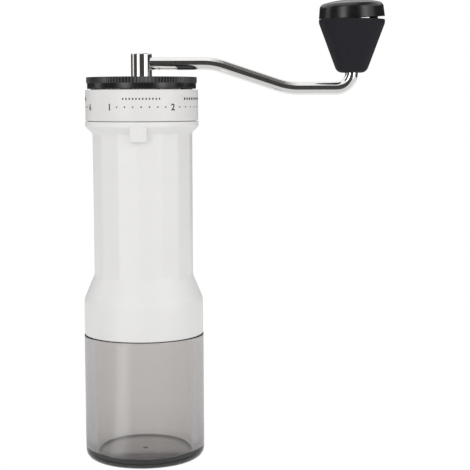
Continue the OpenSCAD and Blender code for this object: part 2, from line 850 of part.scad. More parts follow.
// Shaft with a threaded lower end, clip grooves and a hexagon for the crank
module drive_shaft() {
    color("silver")
        difference() {
            union() {
                bar(thread_d / 2, shaft_z, heel_z);
                bar(shaft_r, heel_z, hex_z);
                translate([0, 0, hex_z])
                    cylinder(d = hex_flats / cos(30), h = hex_top_z - hex_z, $fn = 6);
            }
            for (z = [bearing_z - clip_t, bearing_top_z])
                tube(shaft_r + cut, shaft_r - clip_groove, z, z + clip_t);
            translate([0, 0, crown_z - drive_pin_d / 2 - run_fit])
                rotate([90, 0, 0])
                    cylinder(d = drive_pin_d + 2 * seat_fit, h = shaft_d + 2 * cut, center = true);
        }
}

// Inner race of the upper bearing
module bearing_inner_race() {
    color("silver")
        difference() {
            tube(inner_race_r, shaft_r + seat_fit, bearing_z, bearing_top_z);
            race_track();
        }
}

// Clips on the shaft, above and below the bearing
module shaft_clips() {
    color("silver")
        for (z = [bearing_z - clip_t, bearing_top_z])
            clip(shaft_r - clip_groove + seat_fit, shaft_r + clip_reach, z, clip_t);
}

// Cone burr with crushing grooves above and cutting grooves below
module inner_burr() {
    heel_r = mouth_r - burr_gap;
    middle_z = (heel_z + crown_z) / 2;
    middle_r = (heel_r + crown_r) / 2;
    pin_slot_w = drive_pin_d + 2 * run_fit;
    color("dimgray")
        difference() {
            translate([0, 0, heel_z])
                cylinder(r1 = heel_r, r2 = crown_r, h = crown_z - heel_z);
            bar(shaft_r + seat_fit, heel_z - cut, crown_z + cut);
            burr_grooves(cut_grooves, cut_groove_w, groove_depth, heel_r, middle_r, heel_z, middle_z);
            burr_grooves(crush_grooves, crush_groove_w, 2 * groove_depth,
                middle_r, crown_r, middle_z, crown_z);
            translate([0, 0, crown_z])
                cube([pin_slot_w, 2 * crown_r + cut, 2 * pin_slot_w], center = true);
        }
}

// Cross pin that turns the inner burr with the shaft
module drive_pin() {
    color("silver")
        translate([0, 0, crown_z - drive_pin_d / 2 - run_fit])
            rotate([90, 0, 0])
                cylinder(d = drive_pin_d, h = 2 * crown_r - run_fit, center = true);
}

// Washer under the inner burr
module burr_washer() {
    color("silver")
        tube(washer_d / 2, thread_d / 2 + run_fit, washer_z, heel_z);
}

// Nut that holds the inner burr on the shaft
module burr_nut() {
    color("silver")
        translate([0, 0, nut_z])
            difference() {
                cylinder(d = nut_flats / cos(30), h = nut_t, $fn = 6);
                translate([0, 0, -cut])
                    cylinder(r = thread_d / 2 + seat_fit, h = nut_t + 2 * cut);
            }
}

// Coil spring between the inner burr and the bridge
module burr_spring() {
    color("silver")
        coil(shaft_r + spring_gap + spring_wire / 2, spring_wire,
            crown_z + run_fit, bridge_hub_z - travel_up - run_fit, spring_turns);
}

// Black lid with a knurled rim, a dished top, a plug and a boss
module lid() {
    dish_r = lid_rim_r - lid_dish_margin;
    plate_z = lid_top_z - lid_top_t;
    color([0.16, 0.16, 0.17])
        difference() {
            union() {
                bar(lid_ring_r, lid_z, lid_rim_z);
                translate([0, 0, lid_rim_z])
                    linear_extrude(lid_rim_h)
                        polygon(ridges(knurl_count, lid_rim_r, lid_rim_r - knurl_depth));
                bar(lid_plug_r, lid_plug_z, lid_z);
            }
            tube(lid_plug_r - lid_plug_wall, lid_boss_r, lid_plug_z - cut, plate_z);
            bar(lid_boss_r + cut, lid_plug_z - cut, lid_bush_z);
            bar(lid_bush_r + seat_fit, lid_bush_z - cut, lid_top_z + cut);
            tube(dish_r, lid_boss_r, lid_top_z - lid_dish, lid_top_z + cut);
            seal_groove(lid_seal_r, lid_seal_z);
        }
}

// Bush in the lid for the hub's spigot
module lid_bush() {
    color([0.07, 0.07, 0.07])
        tube(lid_bush_r, lid_bush_bore_r, lid_bush_z, lid_top_z);
}

// Seal ring of the lid
module lid_seal() {
    color("darkgray")
        seal_ring(lid_seal_r, lid_seal_z);
}

// Bright hub with a cross bore for the arm and a hexagon socket for the shaft
module crank_hub() {
    hub_top_z = hub_z + hub_h;
    hub_r = hub_d / 2;
    color("silver")
        difference() {
            union() {
                rotate_extrude()
                    polygon(concat(
                        [[0, hub_z], [hub_r, hub_z]],
                        arc([hub_r - hub_edge_r, hub_top_z - hub_edge_r], hub_edge_r, 0, 90),
                        [[0, hub_top_z]]
                    ));
                bar(spigot_r, spigot_z, hub_z);
            }
            translate([-rod_root - run_fit, 0, arm_z])
                rotate([0, 90, 0])
                    cylinder(r = rod_r + seat_fit, h = rod_root + hub_d);
            translate([0, 0, spigot_z - cut])
                cylinder(d = (hex_flats + socket_fit) / cos(30), h = socket_top_z - spigot_z + cut, $fn = 6);
            tube(spigot_r + cut, spigot_r - hub_clip_groove, hub_clip_z, hub_clip_z + hub_clip_t);
        }
}

// Straight stretch of the crank rod in the arm's plane, with its ends run on into the bends
module rod_run(from, to, lap_from = run_lap, lap_to = run_lap) {
    run = to - from;
    translate([from.x, from.y, 0])
        rotate([0, 90, atan2(run.y, run.x)])
            translate([0, 0, -lap_from])
                cylinder(r = rod_r, h = norm(run) + lap_from + lap_to);
}

// Bent stretch of the crank rod in the arm's plane, a little fatter than the straight rod
module rod_bend(centre, bend_r, from, to) {
    translate([centre.x, centre.y, 0])
        rotate([0, 0, from])
            rotate_extrude(angle = to - from)
                translate([bend_r, 0])
                    circle(r = rod_r + bend_swell);
}

// Bright bent rod from the hub to the top of the knob's spindle
module crank_arm() {
    color("silver")
        difference() {
            rotate([90, 0, 0]) {
                rod_run([-rod_root, arm_z], first_bend_in, lap_from = 0);
                rod_bend(first_bend_in - [0, arm_bend_r], arm_bend_r, 90 - arm_slope, 90);
                rod_run(first_bend_out, second_bend_in);
                rod_bend(second_bend_out + [0, arm_bend_r], arm_bend_r, 270 - arm_slope, 270);
                rod_run(second_bend_out, end_bend_in);
                rod_bend(end_bend_in + [0, end_bend_r], end_bend_r, 270, 360);
                rod_run(end_bend_out, [crank_reach, spindle_top_z], lap_to = 0);
            }
            for (z = [lower_clip_z, upper_clip_z])
                translate([crank_reach, 0, 0])
                    tube(rod_r + cut, rod_r - clip_groove, z, z + clip_t);
        }
}

// Clip that keeps the hub in the lid
module hub_clip() {
    color("silver")
        clip(spigot_r - hub_clip_groove + seat_fit, spigot_r + clip_reach, hub_clip_z, hub_clip_t);
}

// Clips below and above the knob's bush
module spindle_clips() {
    color("silver")
        translate([crank_reach, 0, 0])
            for (z = [lower_clip_z, upper_clip_z])
                clip(rod_r - clip_groove + seat_fit, spindle_clip_r, z, clip_t);
}

// Black cone-shaped grip with bays for the bush, the clips and the cap
module knob_grip() {
    cone_top = [grip_top_r, grip_top_z - grip_rim_h];
    cone_angle = atan((grip_top_r - grip_bottom_r) / (grip_h - grip_rim_h));
    edge_centre = [
        grip_bottom_r - grip_edge_r * (1 - sin(cone_angle)) / cos(cone_angle),
        grip_z + grip_edge_r
    ];
    color([0.17, 0.17, 0.18])
        translate([crank_reach, 0, 0])
            difference() {
                rotate_extrude()
                    polygon(concat(
                        [[0, grip_z]],
                        arc(edge_centre, grip_edge_r, -90, -cone_angle),
                        [cone_top, [grip_top_r, grip_top_z], [0, grip_top_z]]
                    ));
                bar(spindle_clip_r + clip_play + run_fit, grip_z - cut, knob_bush_z);
                bar(knob_bush_r + seat_fit, grip_z + clip_t, knob_bush_top_z);
                bar(clip_bay_d / 2, knob_bush_top_z, grip_top_z);
                bar(cap_bay_r, cap_bay_z, grip_top_z + cut);
            }
}

// Bush that turns on the spindle
module knob_bush() {
    color("peru")
        translate([crank_reach, 0, 0])
            tube(knob_bush_r, knob_bush_bore_r, knob_bush_z, knob_bush_top_z);
}

// Outline of the cap: leaning side, rounded shoulder and a dome that meets the shoulder smoothly
function cap_outline() =
    let (
        shoulder_x = cap_r - cap_draft - cap_shoulder_r,
        dome_h = cap_h - cap_side_h,
        dome_r = (shoulder_x ^ 2 + dome_h ^ 2 - cap_shoulder_r ^ 2) / (2 * (dome_h - cap_shoulder_r)),
        meet = atan2(dome_r - dome_h, shoulder_x)
    )
        concat(
            [[0, 0], [cap_r, 0]],
            arc([shoulder_x, cap_side_h], cap_shoulder_r, 0, meet),
            arc([0, cap_h - dome_r], dome_r, meet, 90)
        );

// Domed cap with legs in the knob's bay, tilted about its low edge
module knob_cap() {
    leg_r = cap_bay_r - cap_leg_fit;
    // Middle and half width of each leg
    legs = [
        [270, cap_narrow_leg],
        [0, cap_broad_leg],
        [90, cap_narrow_leg],
        [180, cap_broad_leg]
    ];
    color([0.12, 0.12, 0.13])
        translate([crank_reach, 0, grip_top_z + seat_fit])
            rotate([0, 0, cap_tilt_dir])
                translate([-cap_r, 0, 0])
                    rotate([0, -cap_tilt, 0])
                        translate([cap_r, 0, 0])
                            rotate([0, 0, -cap_tilt_dir]) {
                                difference() {
                                    rotate_extrude()
                                        polygon(cap_outline());
                                    bar(cap_r - cap_draft - cap_t, -cut, cap_side_h);
                                }
                                for (leg = legs)
                                    rotate([0, 0, leg[0] - leg[1]])
                                        rotate_extrude(angle = 2 * leg[1])
                                            translate([leg_r - cap_leg_t, -cap_leg_h])
                                                square([cap_leg_t, cap_leg_h + cap_side_h + cut]);
                            }
}

// Clear cup with a thick wall, a rounded lower edge and a neck that pushes into the skirt
module catch_cup() {
    color([0.55, 0.54, 0.53, 0.6])
        difference() {
            union() {
                rotate_extrude()
                    polygon(concat(
                        [[0, 0]],
                        arc([cup_r - cup_edge_r, cup_edge_r], cup_edge_r, -90, 0),
                        [[cup_r, cup_h], [0, cup_h]]
                    ));
                bar(cup_neck_r, cup_h, cup_neck_z);
            }
            rotate_extrude()
                polygon(concat(
                    [[0, cup_floor]],
                    arc([cup_floor_r - cup_corner_r, cup_floor + cup_corner_r], cup_corner_r, -90, 0),
                    [
                        [cup_neck_bore_r, cup_h],
                        [cup_neck_bore_r, cup_neck_z + cut],
                        [0, cup_neck_z + cut]
                    ]
                ));
            seal_groove(skirt_bore_r - run_fit - seal_d / 2, cup_h + cup_neck_h / 2);
        }
}

// Seal ring that holds the cup in the skirt
module cup_seal() {
    color("darkgray")
        seal_ring(skirt_bore_r - run_fit - seal_d / 2, cup_h + cup_neck_h / 2);
}

housing();
outer_burr();
burr_retainer();
burr_screws();
bearing_bridge();
bridge_screws();
lower_bush();
dial_clip();
detent_spring();
detent_ball();
dial_ring();
bearing_carrier();
bearing_outer_race();
bearing_balls();
bearing_circlip();
drive_shaft();
bearing_inner_race();
shaft_clips();
inner_burr();
drive_pin();
burr_washer();
burr_nut();
burr_spring();
lid();
lid_bush();
lid_seal();
crank_hub();
crank_arm();
hub_clip();
spindle_clips();
knob_grip();
knob_bush();
knob_cap();
catch_cup();
cup_seal();
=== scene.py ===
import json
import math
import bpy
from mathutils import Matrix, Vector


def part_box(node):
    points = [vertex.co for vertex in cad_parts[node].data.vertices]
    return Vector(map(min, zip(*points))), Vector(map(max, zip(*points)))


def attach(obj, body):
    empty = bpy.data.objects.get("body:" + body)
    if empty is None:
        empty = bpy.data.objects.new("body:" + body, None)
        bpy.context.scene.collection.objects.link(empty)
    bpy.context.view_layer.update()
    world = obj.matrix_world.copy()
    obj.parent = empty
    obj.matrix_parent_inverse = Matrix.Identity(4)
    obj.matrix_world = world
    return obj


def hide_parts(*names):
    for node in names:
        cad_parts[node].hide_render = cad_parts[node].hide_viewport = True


bl_info = {
    "name": "Hand Coffee Grinder",
    "version": (1, 0, 0),
    "blender": (4, 5, 0),
    "location": "3D View > Sidebar > Grinder",
    "description": "Builds the visible pieces of a hand coffee grinder round its fixed frame",
    "category": "Add Mesh",
}

import bmesh
import bpy
from mathutils import Matrix, Vector

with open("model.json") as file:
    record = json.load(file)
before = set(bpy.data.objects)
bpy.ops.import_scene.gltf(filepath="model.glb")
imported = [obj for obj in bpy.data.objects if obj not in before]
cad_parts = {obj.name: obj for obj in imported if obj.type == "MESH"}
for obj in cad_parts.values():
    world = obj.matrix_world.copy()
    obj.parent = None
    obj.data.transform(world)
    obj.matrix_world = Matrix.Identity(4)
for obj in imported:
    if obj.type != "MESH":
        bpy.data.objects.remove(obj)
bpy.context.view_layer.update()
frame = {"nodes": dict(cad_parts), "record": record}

MM = 0.001
AXIS = Vector((0.0, 0.0, 1.0))
ORIGIN = (0.0, 0.0, 0.0)
TINY = 1e-7

# Faces that meet at more than this angle keep a sharp edge
SHARP_ANGLE = math.radians(35.0)

# Height of a figure, as a share of its type size
FIGURE_SHARE = 0.7

# Lamps, cards and paper of the stage, in metres and linear light
LAMP_Z = 0.3
LAMP_TARGET = Vector((0.02, 0.0, 0.14))
CARD_R = 1.2
CARD_FOOT_Z = 0.002
DARK_FELT = (0.06, 0.057, 0.0552)
GREY_FELT = (0.22, 0.209, 0.2024)
PAPER_WHITE = 1.07
PAPER_GLOW = 0.9
STRIPE_LIGHT = 2.2


# Property helpers


def length(label, text, millimetres):
    """A size in metres, written here in millimetres."""
    return bpy.props.FloatProperty(
        name=label, description=text, default=millimetres * MM, min=0.0, precision=5, unit="LENGTH"
    )


def node_height(label, text, node, corner):
    """A height that is read from a node of the frame: corner 0 is its lowest, 1 its highest."""
    return length(label, text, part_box(node)[corner].z / MM)


def node_radius(label, text, node):
    """A radius about the grinder's axis that is read from a node of the frame."""
    return length(label, text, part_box(node)[1].x / MM)


def turn(label, text, degrees):
    """An angle in radians, written here in degrees."""
    return bpy.props.FloatProperty(
        name=label, description=text, default=math.radians(degrees), precision=4, unit="ROTATION"
    )


def count(label, text, number):
    """A whole number of like features."""
    return bpy.props.IntProperty(name=label, description=text, default=number, min=1)


def share(label, text, value):
    """A plain number from nought to one."""
    return bpy.props.FloatProperty(name=label, description=text, default=value, min=0.0, max=1.0)


def colour(label, text, red, green, blue):
    """A linear colour."""
    return bpy.props.FloatVectorProperty(
        name=label, description=text, default=(red, green, blue), size=3, min=0.0, max=1.0, subtype="COLOR"
    )


# Sizes and colours that a user would change


class GrinderBodySizes(bpy.types.PropertyGroup):
    """White body."""

    skirt_z: node_height("Skirt", "Height of the skirt's lower edge", "housing", 0)
    top_z: node_height("Neck top", "Height of the neck's upper edge", "housing", 1)
    band_r: node_radius("Band radius", "Radius of the straight band above the cup", "housing")
    skirt_bore_r: length("Skirt bore", "Inner radius of the skirt", 26.72)
    cone_z: length("Cone", "Height where the cone starts", 78.15)
    column_z: length("Column", "Height where the column's corners leave the cone", 89.05)
    flare_z: length("Flare", "Height where the column's corners meet the flare", 158.6)
    flange_z: length("Flange", "Height of the flange's lower edge", 161.7)
    neck_z: length("Neck", "Height of the flange's upper face", 164.0)
    flat_r: length("Column flat", "Radius to the middle of a side of the column", 23.7)
    sides: count("Sides", "Sides of the column", 15)
    flange_r: length("Flange radius", "Radius of the flange", 27.2)
    neck_r: length("Neck radius", "Outer radius of the neck inside the dial", 24.35)
    clip_groove_r: length("Clip groove", "Radius at the bottom of the neck's clip groove", 23.75)
    clip_z: node_height("Clip", "Height of the dial's clip", "dial_clip", 0)
    clip_top_z: node_height("Clip top", "Height of the dial clip's upper face", "dial_clip", 1)
    chamber_r: length("Chamber", "Radius of the bean chamber", 21.5)
    ledge_z: length("Ledge", "Height of the ledge under the bearing bridge", 100.0)
    ledge_r: length("Ledge radius", "Inner radius of the ledge", 17.5)
    funnel_r: length("Funnel", "Radius of the funnel's lower end", 15.5)
    burr_z: node_height("Burr", "Height of the outer burr's lower face", "outer_burr", 0)
    burr_top_z: node_height("Burr top", "Height of the outer burr's upper face", "outer_burr", 1)
    burr_r: node_radius("Burr seat", "Radius of the outer burr's seat", "outer_burr")
    tube_r: length("Burr tube", "Outer radius of the tube round the burr", 22.92)
    cup_neck_z: node_height("Cup neck", "Height of the cup's neck", "catch_cup", 1)
    slot_w: length("Slot width", "Width of the carrier's slots in the neck", 6.2)
    slot_z: length("Slot", "Height of the lower end of the carrier's slots", 166.01)
    tab_w: length("Tab width", "Width of the index tab", 7.8)
    tab_h: length("Tab height", "Height of the index tab", 6.95)
    tab_front: length("Tab front", "Distance of the tab's face from the axis", 27.13)
    pocket_r: length("Click pocket", "Radius of the click ball's pocket", 1.05)
    pocket_y: length("Click pocket place", "Distance of the pocket from the axis", 25.3)
    pocket_z: length("Click pocket floor", "Height of the pocket's floor", 156.5)
    corner_soften: share("Corner softness", "How far the column's corners are rounded", 0.006)
    blend: length("Blend", "Softness of the line where sides run out in the cones", 0.25)


class GrinderDialSizes(bpy.types.PropertyGroup):
    """Turning dial."""

    low_z: node_height("Lower edge", "Height of the dial's lower edge", "dial_ring", 0)
    top_z: node_height("Upper edge", "Height of the dial's upper edge", "dial_ring", 1)
    radius: node_radius("Radius", "Outer radius of the dial", "dial_ring")
    bore_r: length("Bore", "Inner radius of the dial", 24.45)
    groove_r: length("Groove", "Radius of the carrier's groove in the dial", 25.55)
    slot_z: length("Groove floor", "Height of the groove's lower face", 166.01)
    slot_top_z: length("Groove top", "Height of the groove's upper face", 172.3875)
    seat_z: length("Clip seat", "Height of the seat under the clip", 177.55)
    notch_pitch: turn("Click", "Angle between two clicks", 8.25)
    fine_clicks: count("Fine clicks", "Clicks from rest to the finest stop", 4)
    coarse_clicks: count("Coarse clicks", "Clicks from rest to the coarsest stop", 36)
    notch_depth: length("Notch depth", "Depth of the click notches", 0.35)
    notch_r: length("Notch radius", "Radius of the click notches", 1.05)
    notch_y: length("Notch place", "Distance of the notches from the axis", 25.3)
    numbers: count("Numbers", "Numbers on the dial", 6)
    number_pitch: turn("Number pitch", "Angle between two numbers", 66.0)
    first_number: turn("First number", "Angle of the first number from the index tab", -29.7)
    number_h: length("Number height", "Height of a printed number", 3.0)
    print_z: length("Print line", "Height of the line of numbers and dots", 170.9)
    dots: count("Dots", "Dots between two numbers", 7)
    print_weight: length("Print weight", "How far a number's strokes are thickened", 0.09)
    dot_r: length("Dot radius", "Radius of a printed dot", 0.36)
    grain_z: length("Grain line", "Height of the line of grain marks", 174.7)
    grain_row: length("Grain row", "Length of a row of grain marks", 18.0)
    grain_r: length("Grain radius", "Half the width of the finest grain mark", 0.38)
    grain_growth: length("Grain growth", "How much this grows from one row to the next", 0.14)
    grain_gap: length("Grain gap", "Gap between two grain marks", 0.8)
    grain_stretch: bpy.props.FloatProperty(
        name="Grain stretch", description="Height of a grain mark for its width", default=1.25, min=0.0
    )
    print_t: length("Print thickness", "How far the print stands proud", 0.03)


class GrinderLidSizes(bpy.types.PropertyGroup):
    """Knurled lid."""

    plug_z: node_height("Plug", "Height of the plug's lower edge", "lid", 0)
    top_z: node_height("Top", "Height of the lid's top", "lid", 1)
    rim_r: node_radius("Rim", "Radius over the knurl's ridges", "lid")
    ring_r: length("Ring", "Radius of the smooth ring under the knurl", 26.05)
    ring_z: length("Ring edge", "Height of the ring's lower edge", 179.4)
    rim_z: length("Rim edge", "Height of the knurled rim's lower edge", 182.1)
    plug_r: length("Plug radius", "Outer radius of the plug", 21.3)
    plug_bore_r: length("Plug bore", "Inner radius of the plug", 19.0)
    seal_z: length("Seal", "Height of the seal's middle", 177.4)
    seal_half: length("Seal half", "Half the height of the seal's groove", 0.65)
    seal_groove_r: length("Seal groove", "Radius at the bottom of the seal's groove", 20.2)
    plate_z: length("Plate", "Height of the lid plate's lower face", 182.0)
    dish_r: length("Dish", "Radius of the dish in the top", 23.95)
    dish_h: length("Dish depth", "Depth of the dish in the top", 0.6)
    boss_r: length("Boss", "Radius of the boss round the bush", 8.52)
    bush_r: length("Bush seat", "Radius of the bush's seat", 6.52)
    bush_z: node_height("Bush", "Height of the bush's lower end", "lid_bush", 0)
    ridges: count("Ridges", "Ridges on the knurled rim", 108)
    ridge_h: length("Ridge depth", "Depth of the knurl", 0.35)
    plate_r: length("Top plate", "Radius of the polished plate in the dish", 17.2)
    plate_t: length("Top plate thickness", "Thickness of the polished plate", 0.4)


class GrinderCrankSizes(bpy.types.PropertyGroup):
    """Hub and arm."""

    spigot_z: node_height("Spigot", "Height of the spigot's lower end", "crank_hub", 0)
    hub_top_z: node_height("Hub top", "Height of the hub's top", "crank_hub", 1)
    hub_r: node_radius("Hub radius", "Radius of the hub", "crank_hub")
    hub_z: length("Hub foot", "Height of the hub's lower face", 185.1)
    hub_edge: length("Hub edge", "Rounding of the hub's upper edge", 0.7)
    spigot_r: length("Spigot radius", "Radius of the spigot", 4.5)
    clip_z: node_height("Hub clip", "Height of the hub clip's lower face", "hub_clip", 0)
    clip_top_z: node_height("Hub clip top", "Height of the hub clip's upper face", "hub_clip", 1)
    clip_groove: length("Clip groove", "Depth of the hub clip's groove", 0.4)
    socket_flats: length("Socket", "Width across the flats of the hexagon socket", 6.1)
    socket_top_z: length("Socket top", "Height of the socket's end", 187.5)
    rod_r: length("Rod radius", "Radius of the rod", 3.0)
    rod_z: length("Rod height", "Height of the rod in the hub", 191.4)
    rod_root: length("Rod root", "How far the rod passes the hub's axis", 3.0)
    first_bend: length("First bend", "Distance of the first bend from the axis", 34.4)
    slope: turn("Slope", "Slope of the arm between its bends", 18.5)
    drop: length("Drop", "How far the arm steps down", 12.0)
    bend_r: length("Bend radius", "Radius of the shallow bends", 32.0)
    end_bend_r: length("End bend radius", "Radius of the bend below the knob", 7.4)
    reach: length("Reach", "Distance of the knob's spindle from the axis", 100.6)
    spindle_top_z: node_height("Spindle top", "Height of the spindle's end", "crank_arm", 1)
    spindle_groove: length("Spindle groove", "Depth of the spindle's clip grooves", 0.6)
    low_clip_z: node_height("Low clip", "Height of the lower spindle clip", "spindle_clips", 0)
    high_clip_z: node_height("High clip top", "Height of the upper spindle clip", "spindle_clips", 1)
    clip_t: length("Clip thickness", "Thickness of the spindle's clips", 0.8)


class GrinderKnobSizes(bpy.types.PropertyGroup):
    """Cone-shaped knob and its cap."""

    low_z: node_height("Lower end", "Height of the knob's lower end", "knob_grip", 0)
    top_z: node_height("Upper end", "Height of the knob's rim", "knob_grip", 1)
    low_r: length("Lower radius", "Radius of the cone at its lower end", 7.0)
    top_r: length("Upper radius", "Radius of the knob's rim", 15.7)
    rim_h: length("Rim height", "Height of the straight rim", 1.7)
    low_edge: length("Lower edge", "Reach of the lower edge's rounding", 2.3)
    clip_bay_r: length("Clip bay", "Radius of the bay for the lower clip", 4.35)
    bush_z: length("Bush seat", "Height of the bush's seat", 187.6)
    bush_r: length("Bush radius", "Radius of the bush's seat", 4.57)
    bush_top_z: node_height("Bush top", "Height of the bush's upper end", "knob_bush", 1)
    upper_bay_r: length("Upper bay", "Radius of the bay for the upper clip", 6.0)
    cap_bay_r: length("Cap bay", "Radius of the cap's bay", 12.7)
    cap_bay_z: length("Cap bay floor", "Height of the cap bay's floor", 208.0)
    cap_r: length("Cap radius", "Radius of the cap's edge", 15.7)
    cap_side: length("Cap side", "Height of the cap's side", 4.3)
    cap_lean: length("Cap lean", "How far the cap's side leans in", 0.45)
    cap_shoulder: length("Cap shoulder", "Radius of the cap's shoulder", 2.8)
    cap_h: length("Cap height", "Height of the cap", 8.6)
    cap_t: length("Cap wall", "Thickness of the cap", 2.0)
    leg_r: length("Leg radius", "Outer radius of the cap's legs", 12.36)
    leg_t: length("Leg thickness", "Thickness of the cap's legs", 1.2)
    leg_h: length("Leg length", "Length of the cap's legs", 3.0)
    broad_leg: turn("Broad leg", "Half the angle of a broad leg", 36.0)
    narrow_leg: turn("Narrow leg", "Half the angle of a narrow leg", 16.0)
    tilt: turn("Tilt", "Tilt of the cap", 3.6)
    tilt_side: turn("Tilt side", "Direction of the cap's raised side", 45.0)
    seat: length("Seat", "Gap under the cap's low edge", 0.02)


class GrinderCupSizes(bpy.types.PropertyGroup):
    """Smoked catch cup."""

    radius: node_radius("Radius", "Outer radius of the cup", "catch_cup")
    top_z: node_height("Neck top", "Height of the cup's neck", "catch_cup", 1)
    shoulder_z: length("Shoulder", "Height of the cup's shoulder", 61.0)
    neck_r: length("Neck radius", "Outer radius of the neck", 26.47)
    bore_r: length("Bore", "Inner radius of the neck and the cup's upper end", 24.27)
    floor_r: length("Floor radius", "Inner radius at the floor, with the bore's draft", 23.22)
    floor_z: length("Floor", "Height of the inner floor", 4.0)
    edge: length("Lower edge", "Rounding of the outer lower edge", 4.4)
    corner: length("Inner corner", "Rounding between the floor and the wall", 0.9)
    ring_step: length("Ring step", "How far a ring that keeps a face even is from its rounding", 1.0)
    seal_z: length("Seal", "Height of the seal's middle", 65.0)
    seal_half: length("Seal half", "Half the height of the seal's groove", 0.65)
    seal_groove_r: length("Seal groove", "Radius at the bottom of the seal's groove", 25.42)
    gate_r: length("Gate mark", "Radius of the moulding mark in the floor", 1.3)
    gate_h: length("Gate height", "Height of the moulding mark", 0.35)


class GrinderColours(bpy.types.PropertyGroup):
    """Colours of the finishes and of the paper."""

    body: colour("Body", "White plastic of the body", 0.80, 0.795, 0.785)
    dial: colour("Dial", "White plastic of the dial", 0.768, 0.755, 0.746)
    ink: colour("Ink", "Print on the dial", 0.022, 0.022, 0.023)
    # The knurl colour is lighter than the lid's: a painted highlight on the crests of the knurl's ridges,
    # while the valleys keep the lid's colour
    knurl: colour("Knurl", "Black plastic of the knurled rim", 0.05, 0.05, 0.052)
    plate: colour("Lid plate", "Polished plate in the lid's top", 0.88, 0.87, 0.855)
    lid: colour("Lid", "Black plastic of the lid", 0.0105, 0.0105, 0.0112)
    grip: colour("Knob", "Black plastic of the knob", 0.0212, 0.0204, 0.0250)
    cap: colour("Cap", "Black plastic of the cap", 0.0055, 0.0053, 0.0070)
    chrome: colour("Bright steel", "Polished steel of the crank", 0.88, 0.875, 0.865)
    cup: colour("Cup", "Tint of the clear plastic's surface", 0.966, 0.937, 0.913)
    smoke: colour("Smoke", "Tint of the smoked plastic's depth", 0.50, 0.50, 0.508)
    cup_depth: bpy.props.FloatProperty(
        name="Cup depth", description="How fast the smoked plastic darkens, per metre", default=120.0, min=0.0
    )
    steel: colour("Steel", "Turned steel inside", 0.58, 0.58, 0.59)
    burr: colour("Burr steel", "Ground steel of the burrs", 0.42, 0.42, 0.43)
    alloy: colour("Alloy", "Cast alloy of the bridge and the carrier", 0.66, 0.66, 0.67)
    bronze: colour("Bronze", "Sintered bronze of the bushes", 0.55, 0.34, 0.16)
    rubber: colour("Rubber", "Rubber of the seals", 0.10, 0.10, 0.10)
    floor: colour("Floor", "Paper under the grinder", 0.93, 0.93, 0.93)


# Mesh helpers


def outline(corners, closed=True):
    """Draw a wire outline of (radius, height, rounding) corners in the plane of X and Z."""
    shape = bmesh.new()
    points = [shape.verts.new((corner[0], 0.0, corner[1])) for corner in corners]
    ends = points[1:] + points[:1] if closed else points[1:]
    for start, end in zip(points, ends):
        shape.edges.new((start, end))
    for point, corner in zip(points, corners):
        if len(corner) > 2 and corner[2] > 0.0:
            bmesh.ops.bevel(
                shape, geom=[point], offset=corner[2], offset_type="OFFSET", segments=4,
                profile=0.5, affect="VERTICES", material=-1,
            )
    return shape


def groove(radius, floor_r, first_z, last_z):
    """Corners of a square groove in a straight side of an outline."""
    return [(radius, first_z), (floor_r, first_z), (floor_r, last_z), (radius, last_z)]


def seal_groove(size, radius):
    """Corners of the groove for a seal in a plug or a neck."""
    return groove(radius, size.seal_groove_r, size.seal_z - size.seal_half, size.seal_z + size.seal_half)


def refine(shape, low, high, spacing, least_r):
    """Divide the outline's edges between two heights into steps no longer than the spacing."""
    for edge in list(shape.edges):
        ends = [vert.co for vert in edge.verts]
        inside = all(low - TINY <= end.z <= high + TINY and end.x >= least_r for end in ends)
        cuts = math.ceil(edge.calc_length() / spacing) - 1
        if inside and cuts > 0:
            bmesh.ops.subdivide_edges(shape, edges=[edge], cuts=cuts)


def revolve(shape, steps):
    """Spin an outline once round the grinder's axis and close its seam and poles."""
    bmesh.ops.spin(
        shape, geom=shape.verts[:] + shape.edges[:], cent=ORIGIN, axis=AXIS,
        angle=math.tau, steps=steps, use_merge=True,
    )
    bmesh.ops.remove_doubles(shape, verts=shape.verts, dist=10 * TINY)
    bmesh.ops.recalc_face_normals(shape, faces=shape.faces)
    return shape


def sector(shape, corners, first, angle, steps, closed=True):
    """Sweep (radius, height) corners round the axis, from the first angle on."""
    points = [shape.verts.new((radius, 0.0, height)) for radius, height in corners]
    ends = points[1:] + points[:1] if closed else points[1:]
    edges = [shape.edges.new(pair) for pair in zip(points, ends)]
    bmesh.ops.rotate(shape, cent=ORIGIN, matrix=Matrix.Rotation(first, 3, "Z"), verts=points)
    bmesh.ops.spin(shape, geom=points + edges, cent=ORIGIN, axis=AXIS, angle=angle, steps=steps)


def reshape(shape, radius_at):
    """Move each point in or out to the radius given for its radius, its angle and its height."""
    for vert in shape.verts:
        radius = math.hypot(vert.co.x, vert.co.y)
        if radius > TINY:
            factor = radius_at(radius, math.atan2(vert.co.y, vert.co.x), vert.co.z) / radius
            vert.co.x *= factor
            vert.co.y *= factor


def block(shape, size, centre, spin=0.0):
    """Add a box of the given size to a shape, turned about the grinder's axis."""
    place = Matrix.Rotation(spin, 4, "Z") @ Matrix.Translation(centre) @ Matrix.Diagonal((*size, 1.0))
    bmesh.ops.create_cube(shape, size=1.0, matrix=place)


def cylinder(shape, radius, depth, segments, place):
    """Add a cylinder to a shape and give its points."""
    return bmesh.ops.create_cone(
        shape, cap_ends=True, segments=segments, radius1=radius, radius2=radius, depth=depth, matrix=place
    )["verts"]


def smooth(mesh):
    """Smooth faces with sharp corners."""
    mesh.shade_smooth()
    mesh.set_sharp_from_angle(angle=SHARP_ANGLE)


def piece_from(shape, name):
    """Turn a finished bmesh into an object with smooth faces and sharp corners."""
    mesh = bpy.data.meshes.new(name)
    shape.to_mesh(mesh)
    shape.free()
    smooth(mesh)
    piece = bpy.data.objects.new(name, mesh)
    bpy.context.scene.collection.objects.link(piece)
    return piece


